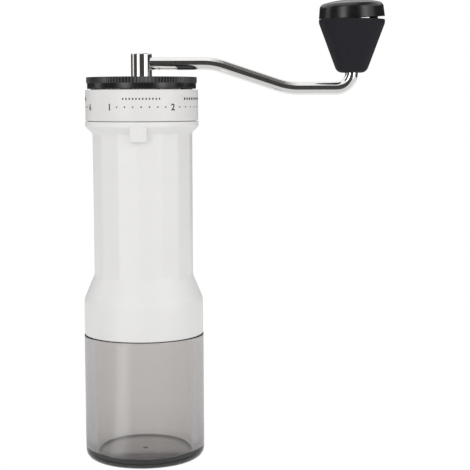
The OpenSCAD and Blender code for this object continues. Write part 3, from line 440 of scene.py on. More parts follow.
def combine(piece, tool_shape, operation):
    """Cut a piece with another shape, or join the shape to it, and keep the result as its mesh."""
    tool = piece_from(tool_shape, piece.name + "_tool")
    step = piece.modifiers.new("combine", "BOOLEAN")
    step.object = tool
    step.operation = operation
    step.solver = "EXACT"
    evaluated = piece.evaluated_get(bpy.context.evaluated_depsgraph_get())
    mesh = bpy.data.meshes.new_from_object(evaluated)
    piece.modifiers.clear()
    old = piece.data
    piece.data = mesh
    bpy.data.meshes.remove(old)
    bpy.data.meshes.remove(tool.data)
    mesh.name = piece.name
    smooth(mesh)


def wear(piece, body, node, material):
    """Give a finished piece its body, the node it stands for and its material."""
    piece.data.materials.clear()
    piece.data.materials.append(material)
    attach(piece, body)
    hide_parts(node)


def smooth_max(first, second, softness):
    """The larger of two lengths, with a soft change from one to the other."""
    return 0.5 * (first + second + math.hypot(first - second, softness))


# Finishes


class Tree:
    """The node tree of a material or a world."""

    def __init__(self, owner):
        owner.use_nodes = True
        self.nodes = owner.node_tree.nodes
        self.link = owner.node_tree.links.new

    def fill(self, node, inputs):
        """Set a node's inputs to plain values, or link them to the outputs of other nodes."""
        for socket, value in inputs.items():
            if isinstance(value, bpy.types.NodeSocket):
                self.link(value, node.inputs[socket])
            else:
                node.inputs[socket].default_value = value

    def node(self, kind, inputs, **settings):
        """Add a node with its settings and its inputs."""
        node = self.nodes.new(kind)
        for name, value in settings.items():
            setattr(node, name, value)
        self.fill(node, inputs)
        return node

    def ways(self):
        """Outputs that tell how a ray came."""
        return self.nodes.new("ShaderNodeLightPath").outputs

    def worked(self, operation, *values):
        """A value worked out from others."""
        return self.node("ShaderNodeMath", dict(enumerate(values)), operation=operation).outputs["Value"]

    def times(self, first, second, rest=0.0):
        """One value times another, plus the rest."""
        return self.worked("MULTIPLY_ADD", first, second, rest)

    def show(self, output, factor, first, second):
        """Show the first shader, and the second in its place where the factor is one."""
        mixed = self.node("ShaderNodeMixShader", {"Fac": factor, 1: first, 2: second})
        self.link(mixed.outputs["Shader"], self.nodes[output].inputs["Surface"])


class Finish(Tree):
    """A new material with its principled shader, driven by patterns on object coordinates."""

    def __init__(self, name):
        self.material = bpy.data.materials.new(name)
        super().__init__(self.material)
        self.surface = self.nodes["Principled BSDF"]
        self.place = self.nodes.new("ShaderNodeTexCoord").outputs["Object"]

    def noise(self, scale, detail=2.0, stretch=None):
        """A noise pattern in metres, stretched along an axis where that is given."""
        place = self.place
        if stretch:
            place = self.node("ShaderNodeMapping", {"Vector": place, "Scale": stretch}).outputs["Vector"]
        pattern = self.node("ShaderNodeTexNoise", {"Vector": place, "Scale": scale, "Detail": detail})
        return pattern.outputs["Fac"]

    def spread(self, value, first, last, low, high):
        """A value's range from first to last, spread from low to high."""
        return self.node("ShaderNodeMapRange", {
            "Value": value, "From Min": first, "From Max": last, "To Min": low, "To Max": high,
        }).outputs["Result"]

    def vary(self, pattern, low, high):
        """A pattern's middle range, spread from low to high."""
        return self.spread(pattern, 0.3, 0.7, low, high)

    def shade(self, pattern, base, low, high):
        """Drive the base colour by a pattern, from a darker to a lighter shade of it."""
        mix = self.node("ShaderNodeMix", {
            "A": (*scaled(base, low), 1.0), "B": (*scaled(base, high), 1.0), "Factor": pattern,
        }, data_type="RGBA")
        self.link(mix.outputs["Result"], self.surface.inputs["Base Color"])

    def raise_grain(self, height, strength, depth):
        """Drive the surface's normal by a height pattern."""
        bump = self.node("ShaderNodeBump", {"Height": height, "Strength": strength, "Distance": depth})
        self.link(bump.outputs["Normal"], self.surface.inputs["Normal"])

    def along(self, axis):
        """The place along an axis, in metres."""
        return self.node("ShaderNodeSeparateXYZ", {"Vector": self.place}).outputs[axis]

    def steps(self, value, steps):
        """Grey levels along a value that runs from nought to one."""
        ramp = self.node("ShaderNodeValToRGB", {"Fac": value})
        for position, bright in steps[1:-1]:
            ramp.color_ramp.elements.new(position)
        for step, (position, bright) in zip(ramp.color_ramp.elements, steps):
            step.color = (bright, bright, bright, 1.0)
        return ramp.outputs["Color"]

    def rings(self, rings):
        """Grey levels by the distance from the axis in millimetres, as far as the last ring."""
        last = rings[-1][0]
        distance = self.node("ShaderNodeVectorMath", {0: self.place}, operation="LENGTH").outputs["Value"]
        reach = self.times(distance, 1.0 / (last * MM))
        return self.steps(reach, [(radius / last, bright) for radius, bright in rings])


def scaled(base, factor):
    """A colour made darker or lighter."""
    return tuple(min(1.0, part * factor) for part in base)


def moulded(name, base, roughness, grain_scale, grain_strength, drift=0.03, shine=0.5):
    """Moulded plastic: faint drift in colour, patchy gloss and a fine spark-eroded grain."""
    finish = Finish(name)
    finish.shade(finish.vary(finish.noise(60.0, 3.0), 0.0, 1.0), base, 1.0 - drift, 1.0 + drift)
    finish.fill(finish.surface, {
        "Specular IOR Level": shine,
        "Roughness": finish.vary(finish.noise(220.0, 4.0), roughness - 0.05, roughness + 0.05),
    })
    finish.raise_grain(finish.noise(grain_scale), grain_strength, 0.02 * MM)
    return finish.material


def bright_metal(name, base, roughness, scratch=None, strength=0.0):
    """Metal with a slight drift in its polish and fine marks along one direction."""
    finish = Finish(name)
    marks = finish.noise(900.0, 3.0, scratch)
    finish.shade(marks, base, 0.95, 1.05)
    finish.fill(finish.surface, {
        "Metallic": 1.0,
        "Roughness": finish.vary(finish.noise(180.0, 4.0, scratch), 0.6 * roughness, 1.4 * roughness),
    })
    if strength > 0.0:
        finish.raise_grain(marks, strength, 0.01 * MM)
    return finish.material


def smoked_clear(name, base, smoke_tint, depth):
    """Clear smoked plastic that darkens with its thickness, with faint flow marks in its polish."""
    finish = Finish(name)
    finish.fill(finish.surface, {
        "Base Color": (*base, 1.0),
        "Transmission Weight": 1.0,
        "IOR": 1.49,
        "Roughness": finish.vary(finish.noise(90.0, 3.0, (1.0, 1.0, 0.3)), 0.0, 0.04),
    })
    smoke = finish.node("ShaderNodeVolumeAbsorption", {"Color": (*smoke_tint, 1.0), "Density": depth})
    finish.link(smoke.outputs["Volume"], finish.nodes["Material Output"].inputs["Volume"])
    return finish.material


def printed(name, base):
    """Pad-printed ink with a slightly uneven edge of gloss."""
    finish = Finish(name)
    specks = finish.noise(2500.0)
    finish.shade(specks, base, 0.8, 1.3)
    finish.fill(finish.surface, {"Roughness": finish.vary(specks, 0.4, 0.55)})
    return finish.material


# Operators for the pieces


class GRINDER_OT_body(bpy.types.Operator):
    """Build the white body with its skirt, cone, fifteen-sided column, flange, neck and tab"""

    bl_idname = "grinder.body"
    bl_label = "Body"

    def execute(self, context):
        size = context.scene.grinder_body
        corner_r = size.flat_r / math.cos(math.pi / size.sides)
        cone_slope = (size.band_r - corner_r) / (size.column_z - size.cone_z)
        flare_slope = (size.flange_r - corner_r) / (size.flange_z - size.flare_z)
        corner_step = corner_r - size.flat_r
        cone_end = size.column_z + corner_step / cone_slope
        flare_start = size.flare_z - corner_step / flare_slope
        blend_end = cone_end + 2 * MM
        blend_start = flare_start - 2 * MM
        shape = outline([
            (size.skirt_bore_r, size.skirt_z, 0.3 * MM),
            (size.band_r, size.skirt_z, 0.4 * MM),
            (size.band_r, size.cone_z, 1.6 * MM),
            (size.flat_r, cone_end),
            (size.flat_r, blend_end),
            (size.flat_r, blend_start),
            (size.flat_r, flare_start),
            (size.flange_r, size.flange_z, 0.35 * MM),
            (size.flange_r, size.neck_z, 0.3 * MM),
            (size.neck_r, size.neck_z),
            *groove(size.neck_r, size.clip_groove_r, size.clip_z, size.clip_top_z),
            (size.neck_r, size.top_z, 0.25 * MM),
            (size.chamber_r, size.top_z, 0.4 * MM),
            (size.chamber_r, size.ledge_z),
            (size.ledge_r, size.ledge_z, 0.2 * MM),
            (size.funnel_r, size.burr_top_z),
            (size.burr_r, size.burr_top_z),
            (size.burr_r, size.burr_z, 0.3 * MM),
            (size.tube_r, size.burr_z, 0.3 * MM),
            (size.tube_r, size.cup_neck_z),
            (size.skirt_bore_r, size.cup_neck_z),
        ])
        outside = size.chamber_r + 1 * MM
        for low, high, spacing in (
            (size.cone_z, cone_end, 0.35 * MM),
            (cone_end, blend_end, 0.25 * MM),
            (blend_end, blend_start, 6 * MM),
            (blend_start, size.flange_z, 0.2 * MM),
        ):
            refine(shape, low, high, spacing, outside)
        revolve(shape, steps=12 * size.sides)
        side_angle = math.tau / size.sides

        def sided(radius, angle, height):
            """The column's flat sides, where they run out in the cone and the flare."""
            on_column = size.cone_z + 1 * MM < height < size.flange_z - 0.4 * MM
            if not on_column or radius < outside:
                return radius
            angle = (angle + math.pi / 2) % side_angle
            near = math.cos(angle - side_angle / 2)
            beyond = max(math.cos(angle + side_angle / 2), math.cos(angle - 1.5 * side_angle))
            column = size.flat_r / smooth_max(near, beyond, size.corner_soften)
            cone = corner_r + (size.column_z - height) * cone_slope
            flare = corner_r + (height - size.flare_z) * flare_slope
            return smooth_max(smooth_max(column, cone, size.blend), flare, size.blend)

        reshape(shape, sided)
        piece = piece_from(shape, "grinder_body")
        combine(piece, self.tab(size, corner_r), "UNION")
        combine(piece, self.slots(size), "DIFFERENCE")
        plastic = moulded(
            "white_body_plastic", context.scene.grinder_colours.body,
            roughness=0.42, grain_scale=2600.0, grain_strength=0.05, drift=0.012,
        )
        wear(piece, "grinder_body", "housing", plastic)
        return {"FINISHED"}

    def tab(self, size, corner_r):
        """The square index tab under the flange, with softened edges."""
        shape = bmesh.new()
        back = corner_r - 1 * MM
        depth = size.tab_front - back
        centre = (0.0, -(back + depth / 2), size.flange_z - size.tab_h / 2)
        block(shape, (size.tab_w, depth, size.tab_h), centre)
        front = [edge for edge in shape.edges if all(vert.co.y < -back - depth / 2 for vert in edge.verts)]
        soft = [edge for edge in front if any(vert.co.z <= size.flange_z - TINY for vert in edge.verts)]
        bmesh.ops.bevel(
            shape, geom=soft, offset=0.3 * MM, segments=3, profile=0.5, affect="EDGES", material=-1
        )
        return shape

    def slots(self, size):
        """The carrier's three slots in the neck and the click ball's pocket in the tab."""
        shape = bmesh.new()
        height = size.top_z - size.slot_z + 2 * MM
        wall = size.neck_r - size.chamber_r + 2 * MM
        centre = ((size.chamber_r + size.neck_r) / 2, 0.0, size.slot_z + height / 2)
        for degrees in (90.0, 210.0, 330.0):
            block(shape, (wall, size.slot_w, height), centre, math.radians(degrees))
        depth = size.neck_z - size.pocket_z + 1 * MM
        place = Matrix.Translation((0.0, -size.pocket_y, size.pocket_z + depth / 2))
        cylinder(shape, size.pocket_r, depth, 32, place)
        return shape


class GRINDER_OT_dial(bpy.types.Operator):
    """Build the white dial with its click notches, and print its numbers, dots and grain marks"""

    bl_idname = "grinder.dial"
    bl_label = "Dial"

    def execute(self, context):
        size = context.scene.grinder_dial
        colours = context.scene.grinder_colours
        shape = outline([
            (size.bore_r, size.low_z, 0.15 * MM),
            (size.radius, size.low_z, 0.3 * MM),
            (size.radius, size.top_z, 0.35 * MM),
            (size.groove_r, size.top_z, 0.15 * MM),
            (size.groove_r, size.seat_z),
            (size.bore_r, size.seat_z),
            *groove(size.bore_r, size.groove_r, size.slot_top_z, size.slot_z),
        ])
        piece = piece_from(revolve(shape, steps=192), "grind_dial")
        combine(piece, self.notches(size), "DIFFERENCE")
        plastic = moulded(
            "white_dial_plastic", colours.dial,
            roughness=0.40, grain_scale=2600.0, grain_strength=0.05, drift=0.012,
        )
        wear(piece, "dial", "dial_ring", plastic)
        ink = printed("dial_ink", colours.ink)
        marks = [self.figure(size, number) for number in range(size.numbers)]
        marks.append(piece_from(self.dots(size), "dial_dots"))
        marks.append(piece_from(self.grains(size), "dial_grain_marks"))
        for mark in marks:
            mark.data.materials.append(ink)
            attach(mark, "dial")
        return {"FINISHED"}

    def notches(self, size):
        """A ring of small balls that cut the click notches in the dial's lower face."""
        shape = bmesh.new()
        centre = Matrix.Translation((0.0, -size.notch_y, size.low_z + size.notch_depth - size.notch_r))
        for click in range(-size.fine_clicks, size.coarse_clicks + 1):
            place = Matrix.Rotation(click * size.notch_pitch, 4, "Z") @ centre
            bmesh.ops.create_uvsphere(shape, u_segments=16, v_segments=12, radius=size.notch_r, matrix=place)
        return shape

    def angle(self, size, number):
        """The angle of a number, counted from nought, or of a place between two."""
        return size.first_number + number * size.number_pitch

    def wrap(self, size, verts, angle, height):
        """Lay flat print round the dial: X runs round it, Y up it and Z out of it."""
        for vert in verts:
            around = angle + vert.co.x / size.radius
            radius = size.radius + vert.co.z
            vert.co = (radius * math.sin(around), -radius * math.cos(around), height + vert.co.y)

    def figure(self, size, number):
        """One printed number."""
        curve = bpy.data.curves.new("figure", "FONT")
        curve.body = str(number + 1)
        curve.align_x = "CENTER"
        curve.align_y = "CENTER"
        curve.size = size.number_h / FIGURE_SHARE
        curve.extrude = size.print_t
        curve.offset = size.print_weight
        holder = bpy.data.objects.new("figure", curve)
        bpy.context.scene.collection.objects.link(holder)
        mesh = bpy.data.meshes.new_from_object(holder.evaluated_get(bpy.context.evaluated_depsgraph_get()))
        bpy.data.objects.remove(holder)
        bpy.data.curves.remove(curve)
        shape = bmesh.new()
        shape.from_mesh(mesh)
        bpy.data.meshes.remove(mesh)
        bmesh.ops.remove_doubles(shape, verts=shape.verts, dist=10 * TINY)
        heights = [vert.co.y for vert in shape.verts]
        middle = (min(heights) + max(heights)) / 2
        bmesh.ops.translate(shape, vec=(0.0, -middle, 0.0), verts=shape.verts)
        self.wrap(size, shape.verts, self.angle(size, number), size.print_z)
        bmesh.ops.recalc_face_normals(shape, faces=shape.faces)
        return piece_from(shape, "dial_number_%d" % (number + 1))

    def disc(self, size, shape, angle, height, radius, stretch=1.0):
        """One printed disc."""
        flat = Matrix.Diagonal((1.0, stretch, 1.0, 1.0))
        self.wrap(size, cylinder(shape, radius, 2 * size.print_t, 20, flat), angle, height)

    def dots(self, size):
        """The rows of dots between the numbers."""
        shape = bmesh.new()
        for number in range(size.numbers - 1):
            for dot in range(1, size.dots + 1):
                angle = self.angle(size, number + dot / (size.dots + 1))
                self.disc(size, shape, angle, size.print_z, size.dot_r)
        return shape

    def grains(self, size):
        """Rows of grain marks that grow from fine to coarse."""
        shape = bmesh.new()
        for number in range(size.numbers - 1):
            radius = size.grain_r + number * size.grain_growth
            spacing = 2.0 * radius + size.grain_gap
            grains = round(size.grain_row / spacing)
            for grain in range(grains):
                aside = (grain - (grains - 1) / 2) * spacing / size.radius
                angle = self.angle(size, number + 0.5) + aside
                self.disc(size, shape, angle, size.grain_z, radius, size.grain_stretch)
        return shape


class GRINDER_OT_lid(bpy.types.Operator):
    """Build the black lid with its knurled rim, dished top, plug and boss, and the plate in its dish"""

    bl_idname = "grinder.lid"
    bl_label = "Lid"

    def execute(self, context):
        size = context.scene.grinder_lid
        colours = context.scene.grinder_colours
        shape = outline([
            (size.plug_bore_r, size.plug_z, 0.2 * MM),
            (size.plug_r, size.plug_z, 0.3 * MM),
            *seal_groove(size, size.plug_r),
            (size.plug_r, size.ring_z),
            (size.ring_r, size.ring_z, 0.35 * MM),
            (size.ring_r, size.rim_z),
            (size.rim_r, size.rim_z, 0.2 * MM),
            (size.rim_r, size.top_z, 0.3 * MM),
            (size.dish_r, size.top_z, 0.25 * MM),
            (size.dish_r, size.top_z - size.dish_h, 0.2 * MM),
            (size.boss_r, size.top_z - size.dish_h, 0.2 * MM),
            (size.boss_r, size.top_z, 0.2 * MM),
            (size.bush_r, size.top_z),
            (size.bush_r, size.bush_z),
            (size.boss_r, size.bush_z, 0.2 * MM),
            (size.boss_r, size.plate_z),
            (size.plug_bore_r, size.plate_z),
        ])
        revolve(shape, steps=4 * size.ridges)
        knurl_foot = (size.ring_r + size.rim_r - size.ridge_h) / 2

        def ridged(radius, angle, height):
            """The rim's ridges, which fade out towards their foot."""
            valley = 0.5 - 0.5 * math.cos(size.ridges * angle)
            return radius - valley * min(size.ridge_h, max(0.0, radius - knurl_foot))

        reshape(shape, ridged)
        piece = piece_from(shape, "knurled_lid")
        plain = moulded(
            "black_lid_plastic", colours.lid,
            roughness=0.24, grain_scale=2200.0, grain_strength=0.12, shine=0.7,
        )
        # Lighter, rougher plastic for the knurl's crests: its lighter colour is a painted highlight on the
        # ridges
        crest_highlight_plastic = moulded("knurl_crest_painted_highlight", colours.knurl, 0.45, grain_scale=2200.0, grain_strength=0.12)
        polished = bright_metal("polished_plate_steel", colours.plate, 0.10)
        wear(piece, "lid_assembly", "lid", plain)
        piece.data.materials.append(crest_highlight_plastic)
        piece.data.materials.append(polished)
        # Crests of the knurled rim take the lighter knurl colour as a painted highlight; the boss's top takes
        # the polished plate's finish
        for face in piece.data.polygons:
            radius = math.hypot(face.center.x, face.center.y)
            crest = math.cos(size.ridges * math.atan2(face.center.y, face.center.x)) > 0.0
            if radius > size.ring_r - 0.2 * MM and crest and face.center.z > size.rim_z:
                face.material_index = 1
            elif radius < size.boss_r and face.center.z > size.top_z - 0.1 * MM:
                face.material_index = 2
        plate = piece_from(self.plate(size), "lid_top_plate")
        plate.data.materials.append(polished)
        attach(plate, "lid_assembly")
        return {"FINISHED"}

    def plate(self, size):
        """The thin polished plate that lies in the lid's dish."""
        foot = size.top_z - size.dish_h
        inner = size.boss_r + 0.3 * MM
        return revolve(outline([
            (inner, foot),
            (size.plate_r, foot),
            (size.plate_r, foot + size.plate_t, 0.15 * MM),
            (inner, foot + size.plate_t, 0.15 * MM),
        ]), steps=128)


class GRINDER_OT_crank(bpy.types.Operator):
    """Build the bright hub and the bent rod of the crank"""

    bl_idname = "grinder.crank"
    bl_label = "Crank"

    def execute(self, context):
        size = context.scene.grinder_crank
        base = context.scene.grinder_colours.chrome
        hub = piece_from(self.hub(size), "crank_hub_bright")
        combine(hub, self.bore(size), "DIFFERENCE")
        steel = bright_metal("hub_bright_steel", base, 0.07, scratch=(1.0, 1.0, 14.0))
        wear(hub, "crank", "crank_hub", steel)
        arm = piece_from(self.rod(size), "crank_rod_bright")
        steel = bright_metal("rod_bright_steel", base, 0.06, scratch=(0.15, 1.0, 1.0))
        wear(arm, "crank", "crank_arm", steel)
        return {"FINISHED"}

    def hub(self, size):
        """The hub with its rounded top, its spigot and its hexagon socket."""
        socket_r = size.socket_flats / 2
        shape = outline([
            (0.0, size.hub_top_z),
            (size.hub_r, size.hub_top_z, size.hub_edge),
            (size.hub_r, size.hub_z + 0.3 * MM),
            (size.hub_r, size.hub_z, 0.05 * MM),
            (size.spigot_r, size.hub_z),
            *groove(size.spigot_r, size.spigot_r - size.clip_groove, size.clip_top_z, size.clip_z),
            (size.spigot_r, size.spigot_z, 0.2 * MM),
            (socket_r, size.spigot_z),
            (socket_r, size.socket_top_z),
            (0.0, size.socket_top_z),
        ], closed=False)
        revolve(shape, steps=96)
        sixth = math.tau / 6

        def hexagon(radius, angle, height):
            """The socket's six flats."""
            in_socket = height < size.socket_top_z + TINY and abs(radius - socket_r) < 0.01 * MM
            return radius / math.cos(angle % sixth - sixth / 2) if in_socket else radius

        reshape(shape, hexagon)
        return shape

    def bore(self, size):
        """The hole for the rod, across the hub and past its side."""
        shape = bmesh.new()
        depth = size.rod_root + 2 * size.hub_r
        centre = Matrix.Translation((depth / 2 - size.rod_root - 0.05 * MM, 0.0, size.rod_z))
        cylinder(shape, size.rod_r + 0.02 * MM, depth, 64, centre @ Matrix.Rotation(math.pi / 2, 4, "Y"))
        return shape

    def rod(self, size):
        """The bent rod, drawn ring by ring from the hub to the top of the spindle."""
        shape = bmesh.new()
        start = Matrix.Translation((-size.rod_root, 0.0, size.rod_z)) @ Matrix.Rotation(math.pi / 2, 4, "Y")
        bmesh.ops.create_circle(shape, cap_ends=False, segments=48, radius=size.rod_r, matrix=start)
        self.ring = shape.edges[:]
        tangent = size.bend_r * math.tan(size.slope / 2)
        second_bend = size.first_bend + size.drop / math.tan(size.slope)
        along = Vector((math.cos(size.slope), 0.0, -math.sin(size.slope)))
        low_z = size.rod_z - size.drop
        slant = Vector((second_bend - size.first_bend, 0.0, -size.drop)).length - 2 * tangent
        first_in = size.first_bend - tangent
        second_out = second_bend + tangent
        end_in = size.reach - size.end_bend_r
        height = low_z + size.end_bend_r
        self.run(shape, Vector((first_in + size.rod_root, 0.0, 0.0)))
        self.bend(shape, (first_in, 0.0, size.rod_z - size.bend_r), size.slope, 16)
        self.run(shape, slant * along)
        self.bend(shape, (second_out, 0.0, low_z + size.bend_r), -size.slope, 16)
        self.run(shape, Vector((end_in - second_out, 0.0, 0.0)))
        self.bend(shape, (end_in, 0.0, height), -math.pi / 2, 32)
        for clip_z in (size.low_clip_z, size.high_clip_z - size.clip_t):
            self.run(shape, (clip_z - height) * AXIS)
            self.step(shape, size, -size.spindle_groove)
            self.run(shape, size.clip_t * AXIS)
            self.step(shape, size, size.spindle_groove)
            height = clip_z + size.clip_t
        self.run(shape, (size.spindle_top_z - height) * AXIS)
        bmesh.ops.holes_fill(shape, edges=[edge for edge in shape.edges if edge.is_boundary], sides=0)
        bmesh.ops.recalc_face_normals(shape, faces=shape.faces)
        return shape

    def grow(self, shape):
        """Add a ring of faces at the rod's open end and give its new points."""
        grown = bmesh.ops.extrude_edge_only(shape, edges=self.ring)["geom"]
        edges = [part for part in grown if isinstance(part, bmesh.types.BMEdge)]
        self.ring = [edge for edge in edges if edge.is_boundary]
        return [part for part in grown if isinstance(part, bmesh.types.BMVert)]

    def run(self, shape, move):
        """Extend the rod's open end in a straight line."""
        bmesh.ops.translate(shape, vec=move, verts=self.grow(shape))

    def bend(self, shape, centre, angle, steps):
        """Extend the rod's open end round a bend."""
        verts = list({vert for edge in self.ring for vert in edge.verts})
        grown = bmesh.ops.spin(
            shape, geom=verts + self.ring, cent=centre, axis=(0.0, 1.0, 0.0), angle=angle, steps=steps
        )["geom_last"]
        self.ring = [part for part in grown if isinstance(part, bmesh.types.BMEdge)]

    def step(self, shape, size, change):
        """Step the rod's open end in or out, as at a clip's groove."""
        verts = self.grow(shape)
        radius = math.hypot(verts[0].co.x - size.reach, verts[0].co.y)
        factor = (radius + change) / radius
        bmesh.ops.scale(
            shape, vec=(factor, factor, 1.0), verts=verts, space=Matrix.Translation((-size.reach, 0.0, 0.0))
        )


class GRINDER_OT_knob(bpy.types.Operator):
    """Build the cone-shaped knob and its domed cap"""

    bl_idname = "grinder.knob"
    bl_label = "Knob"

    def execute(self, context):
        size = context.scene.grinder_knob
        reach = context.scene.grinder_crank.reach
        colours = context.scene.grinder_colours
        shape = outline([
            (size.clip_bay_r, size.low_z, 0.2 * MM),
            (size.low_r, size.low_z, size.low_edge),
            (size.top_r, size.top_z - size.rim_h, 0.4 * MM),
            (size.top_r, size.top_z, 0.1 * MM),
            (size.cap_bay_r, size.top_z, 0.2 * MM),
            (size.cap_bay_r, size.cap_bay_z),
            (size.upper_bay_r, size.cap_bay_z),
            (size.upper_bay_r, size.bush_top_z),
            (size.bush_r, size.bush_top_z),
            (size.bush_r, size.bush_z),
            (size.clip_bay_r, size.bush_z),
        ])
        revolve(shape, steps=128)
        bmesh.ops.translate(shape, vec=(reach, 0.0, 0.0), verts=shape.verts)
        grip = piece_from(shape, "knob_grip_black")
        plastic = moulded(
            "black_grip_plastic", colours.grip,
            roughness=0.55, grain_scale=1800.0, grain_strength=0.25, shine=0.06,
        )
        wear(grip, "knob", "knob_grip", plastic)
        cap = piece_from(self.cap(size), "knob_cap_black")
        combine(cap, self.legs(size), "UNION")
        tilted = (
            Matrix.Translation((reach, 0.0, size.top_z + size.seat))
            @ Matrix.Rotation(size.tilt_side, 4, "Z")
            @ Matrix.Translation((-size.cap_r, 0.0, 0.0))
            @ Matrix.Rotation(-size.tilt, 4, "Y")
            @ Matrix.Translation((size.cap_r, 0.0, 0.0))
            @ Matrix.Rotation(-size.tilt_side, 4, "Z")
        )
        cap.data.transform(tilted)
        plastic = moulded(
            "black_cap_plastic", colours.cap,
            roughness=0.27, grain_scale=2000.0, grain_strength=0.10, shine=0.7,
        )
        wear(cap, "knob", "knob_cap", plastic)
        return {"FINISHED"}

    def cap(self, size):
        """The hollow cap: leaning side, rounded shoulder and a dome."""
        hollow_r = size.cap_r - size.cap_lean - size.cap_t
        shoulder_x = size.cap_r - size.cap_lean - size.cap_shoulder
        dome_h = size.cap_h - size.cap_side
        dome_r = (shoulder_x ** 2 + dome_h ** 2 - size.cap_shoulder ** 2) / (2 * (dome_h - size.cap_shoulder))
        meet = math.atan2(dome_r - dome_h, shoulder_x)
        corners = [
            (0.0, size.cap_side),
            (hollow_r, size.cap_side),
            (hollow_r, 0.0),
            (size.cap_r, 0.0, 0.1 * MM),
        ]
        for step in range(9):
            angle = meet * step / 8
            corners.append((shoulder_x + size.cap_shoulder * math.cos(angle),
                            size.cap_side + size.cap_shoulder * math.sin(angle)))
        for step in range(1, 17):
            angle = meet + (math.pi / 2 - meet) * step / 16
            corners.append((max(0.0, dome_r * math.cos(angle)),
                            size.cap_h - dome_r + dome_r * math.sin(angle)))
        return revolve(outline(corners, closed=False), steps=128)

    def legs(self, size):
        """The four legs that stand in the knob's bay."""
        shape = bmesh.new()
        inner_r = size.leg_r - size.leg_t
        top = size.cap_side + 1 * MM
        corners = ((inner_r, -size.leg_h), (size.leg_r, -size.leg_h), (size.leg_r, top), (inner_r, top))
        for quarter in range(4):
            half = size.narrow_leg if quarter % 2 else size.broad_leg
            sector(shape, corners, quarter * math.pi / 2 - half, 2 * half, steps=12)
        bmesh.ops.holes_fill(shape, edges=[edge for edge in shape.edges if edge.is_boundary], sides=4)
        bmesh.ops.recalc_face_normals(shape, faces=shape.faces)
        return shape


class GRINDER_OT_cup(bpy.types.Operator):
    """Build the smoked clear cup with its thick floor and its neck"""

    bl_idname = "grinder.cup"
    bl_label = "Cup"

    def execute(self, context):
        size = context.scene.grinder_cup
        colours = context.scene.grinder_colours
        draft = (size.bore_r - size.floor_r) / (size.shoulder_z - size.floor_z)
        ring_h = size.corner + size.ring_step
        shape = outline([
            (0.0, 0.0),
            (size.radius, 0.0, size.edge),
            (size.radius, size.edge + size.ring_step),
            (size.radius, size.shoulder_z - size.ring_step),
            (size.radius, size.shoulder_z, 0.35 * MM),
            (size.neck_r, size.shoulder_z),
            *seal_groove(size, size.neck_r),
            (size.neck_r, size.top_z, 0.4 * MM),
            (size.bore_r, size.top_z, 0.4 * MM),
            (size.bore_r, size.shoulder_z, 4.0 * MM),
            (size.floor_r + draft * ring_h, size.floor_z + ring_h),
            (size.floor_r, size.floor_z, size.corner),
            (size.floor_r - ring_h, size.floor_z),
            (size.gate_r + size.ring_step, size.floor_z),
            (size.gate_r, size.floor_z, 0.1 * MM),
            (size.gate_r - 0.15 * MM, size.floor_z + size.gate_h, 0.1 * MM),
            (0.0, size.floor_z + size.gate_h),
        ], closed=False)
        piece = piece_from(revolve(shape, steps=192), "smoked_cup")
        plastic = smoked_clear("smoked_clear_plastic", colours.cup, colours.smoke, colours.cup_depth)
        wear(piece, "cup", "catch_cup", plastic)
        piece.visible_shadow = False
        return {"FINISHED"}


class GRINDER_OT_inner_parts(bpy.types.Operator):
    """Finish the inner parts that stay as the frame gives them"""

    bl_idname = "grinder.inner_parts"
    bl_label = "Inner parts"

    def execute(self, context):
        colours = context.scene.grinder_colours
        finishes = {
            "burr_steel": bright_metal("ground_burr_steel", colours.burr, 0.35, (1.0, 1.0, 3.0), 0.3),
            "steel": bright_metal("turned_steel", colours.steel, 0.25, (1.0, 1.0, 8.0), 0.1),
            "spring_steel": bright_metal("drawn_spring_wire", scaled(colours.steel, 0.9), 0.22),
            "cast_alloy": bright_metal("cast_alloy", colours.alloy, 0.45, (1.0, 1.0, 1.0), 0.4),
            "bronze": bright_metal("sintered_bronze", colours.bronze, 0.40, (1.0, 1.0, 1.0), 0.3),
            "seal_rubber": moulded("seal_rubber", colours.rubber, 0.65, 1500.0, 0.3),
            "black_bush": moulded("turned_bush_plastic", colours.lid, 0.45, 1500.0, 0.15),
        }
        for row in frame["record"]["subparts"]:
            finish = finishes.get(row["material_slot"])
            if finish:
                node = frame["nodes"][row["node"]]
                node.data.materials.clear()
                node.data.materials.append(finish)
        return {"FINISHED"}


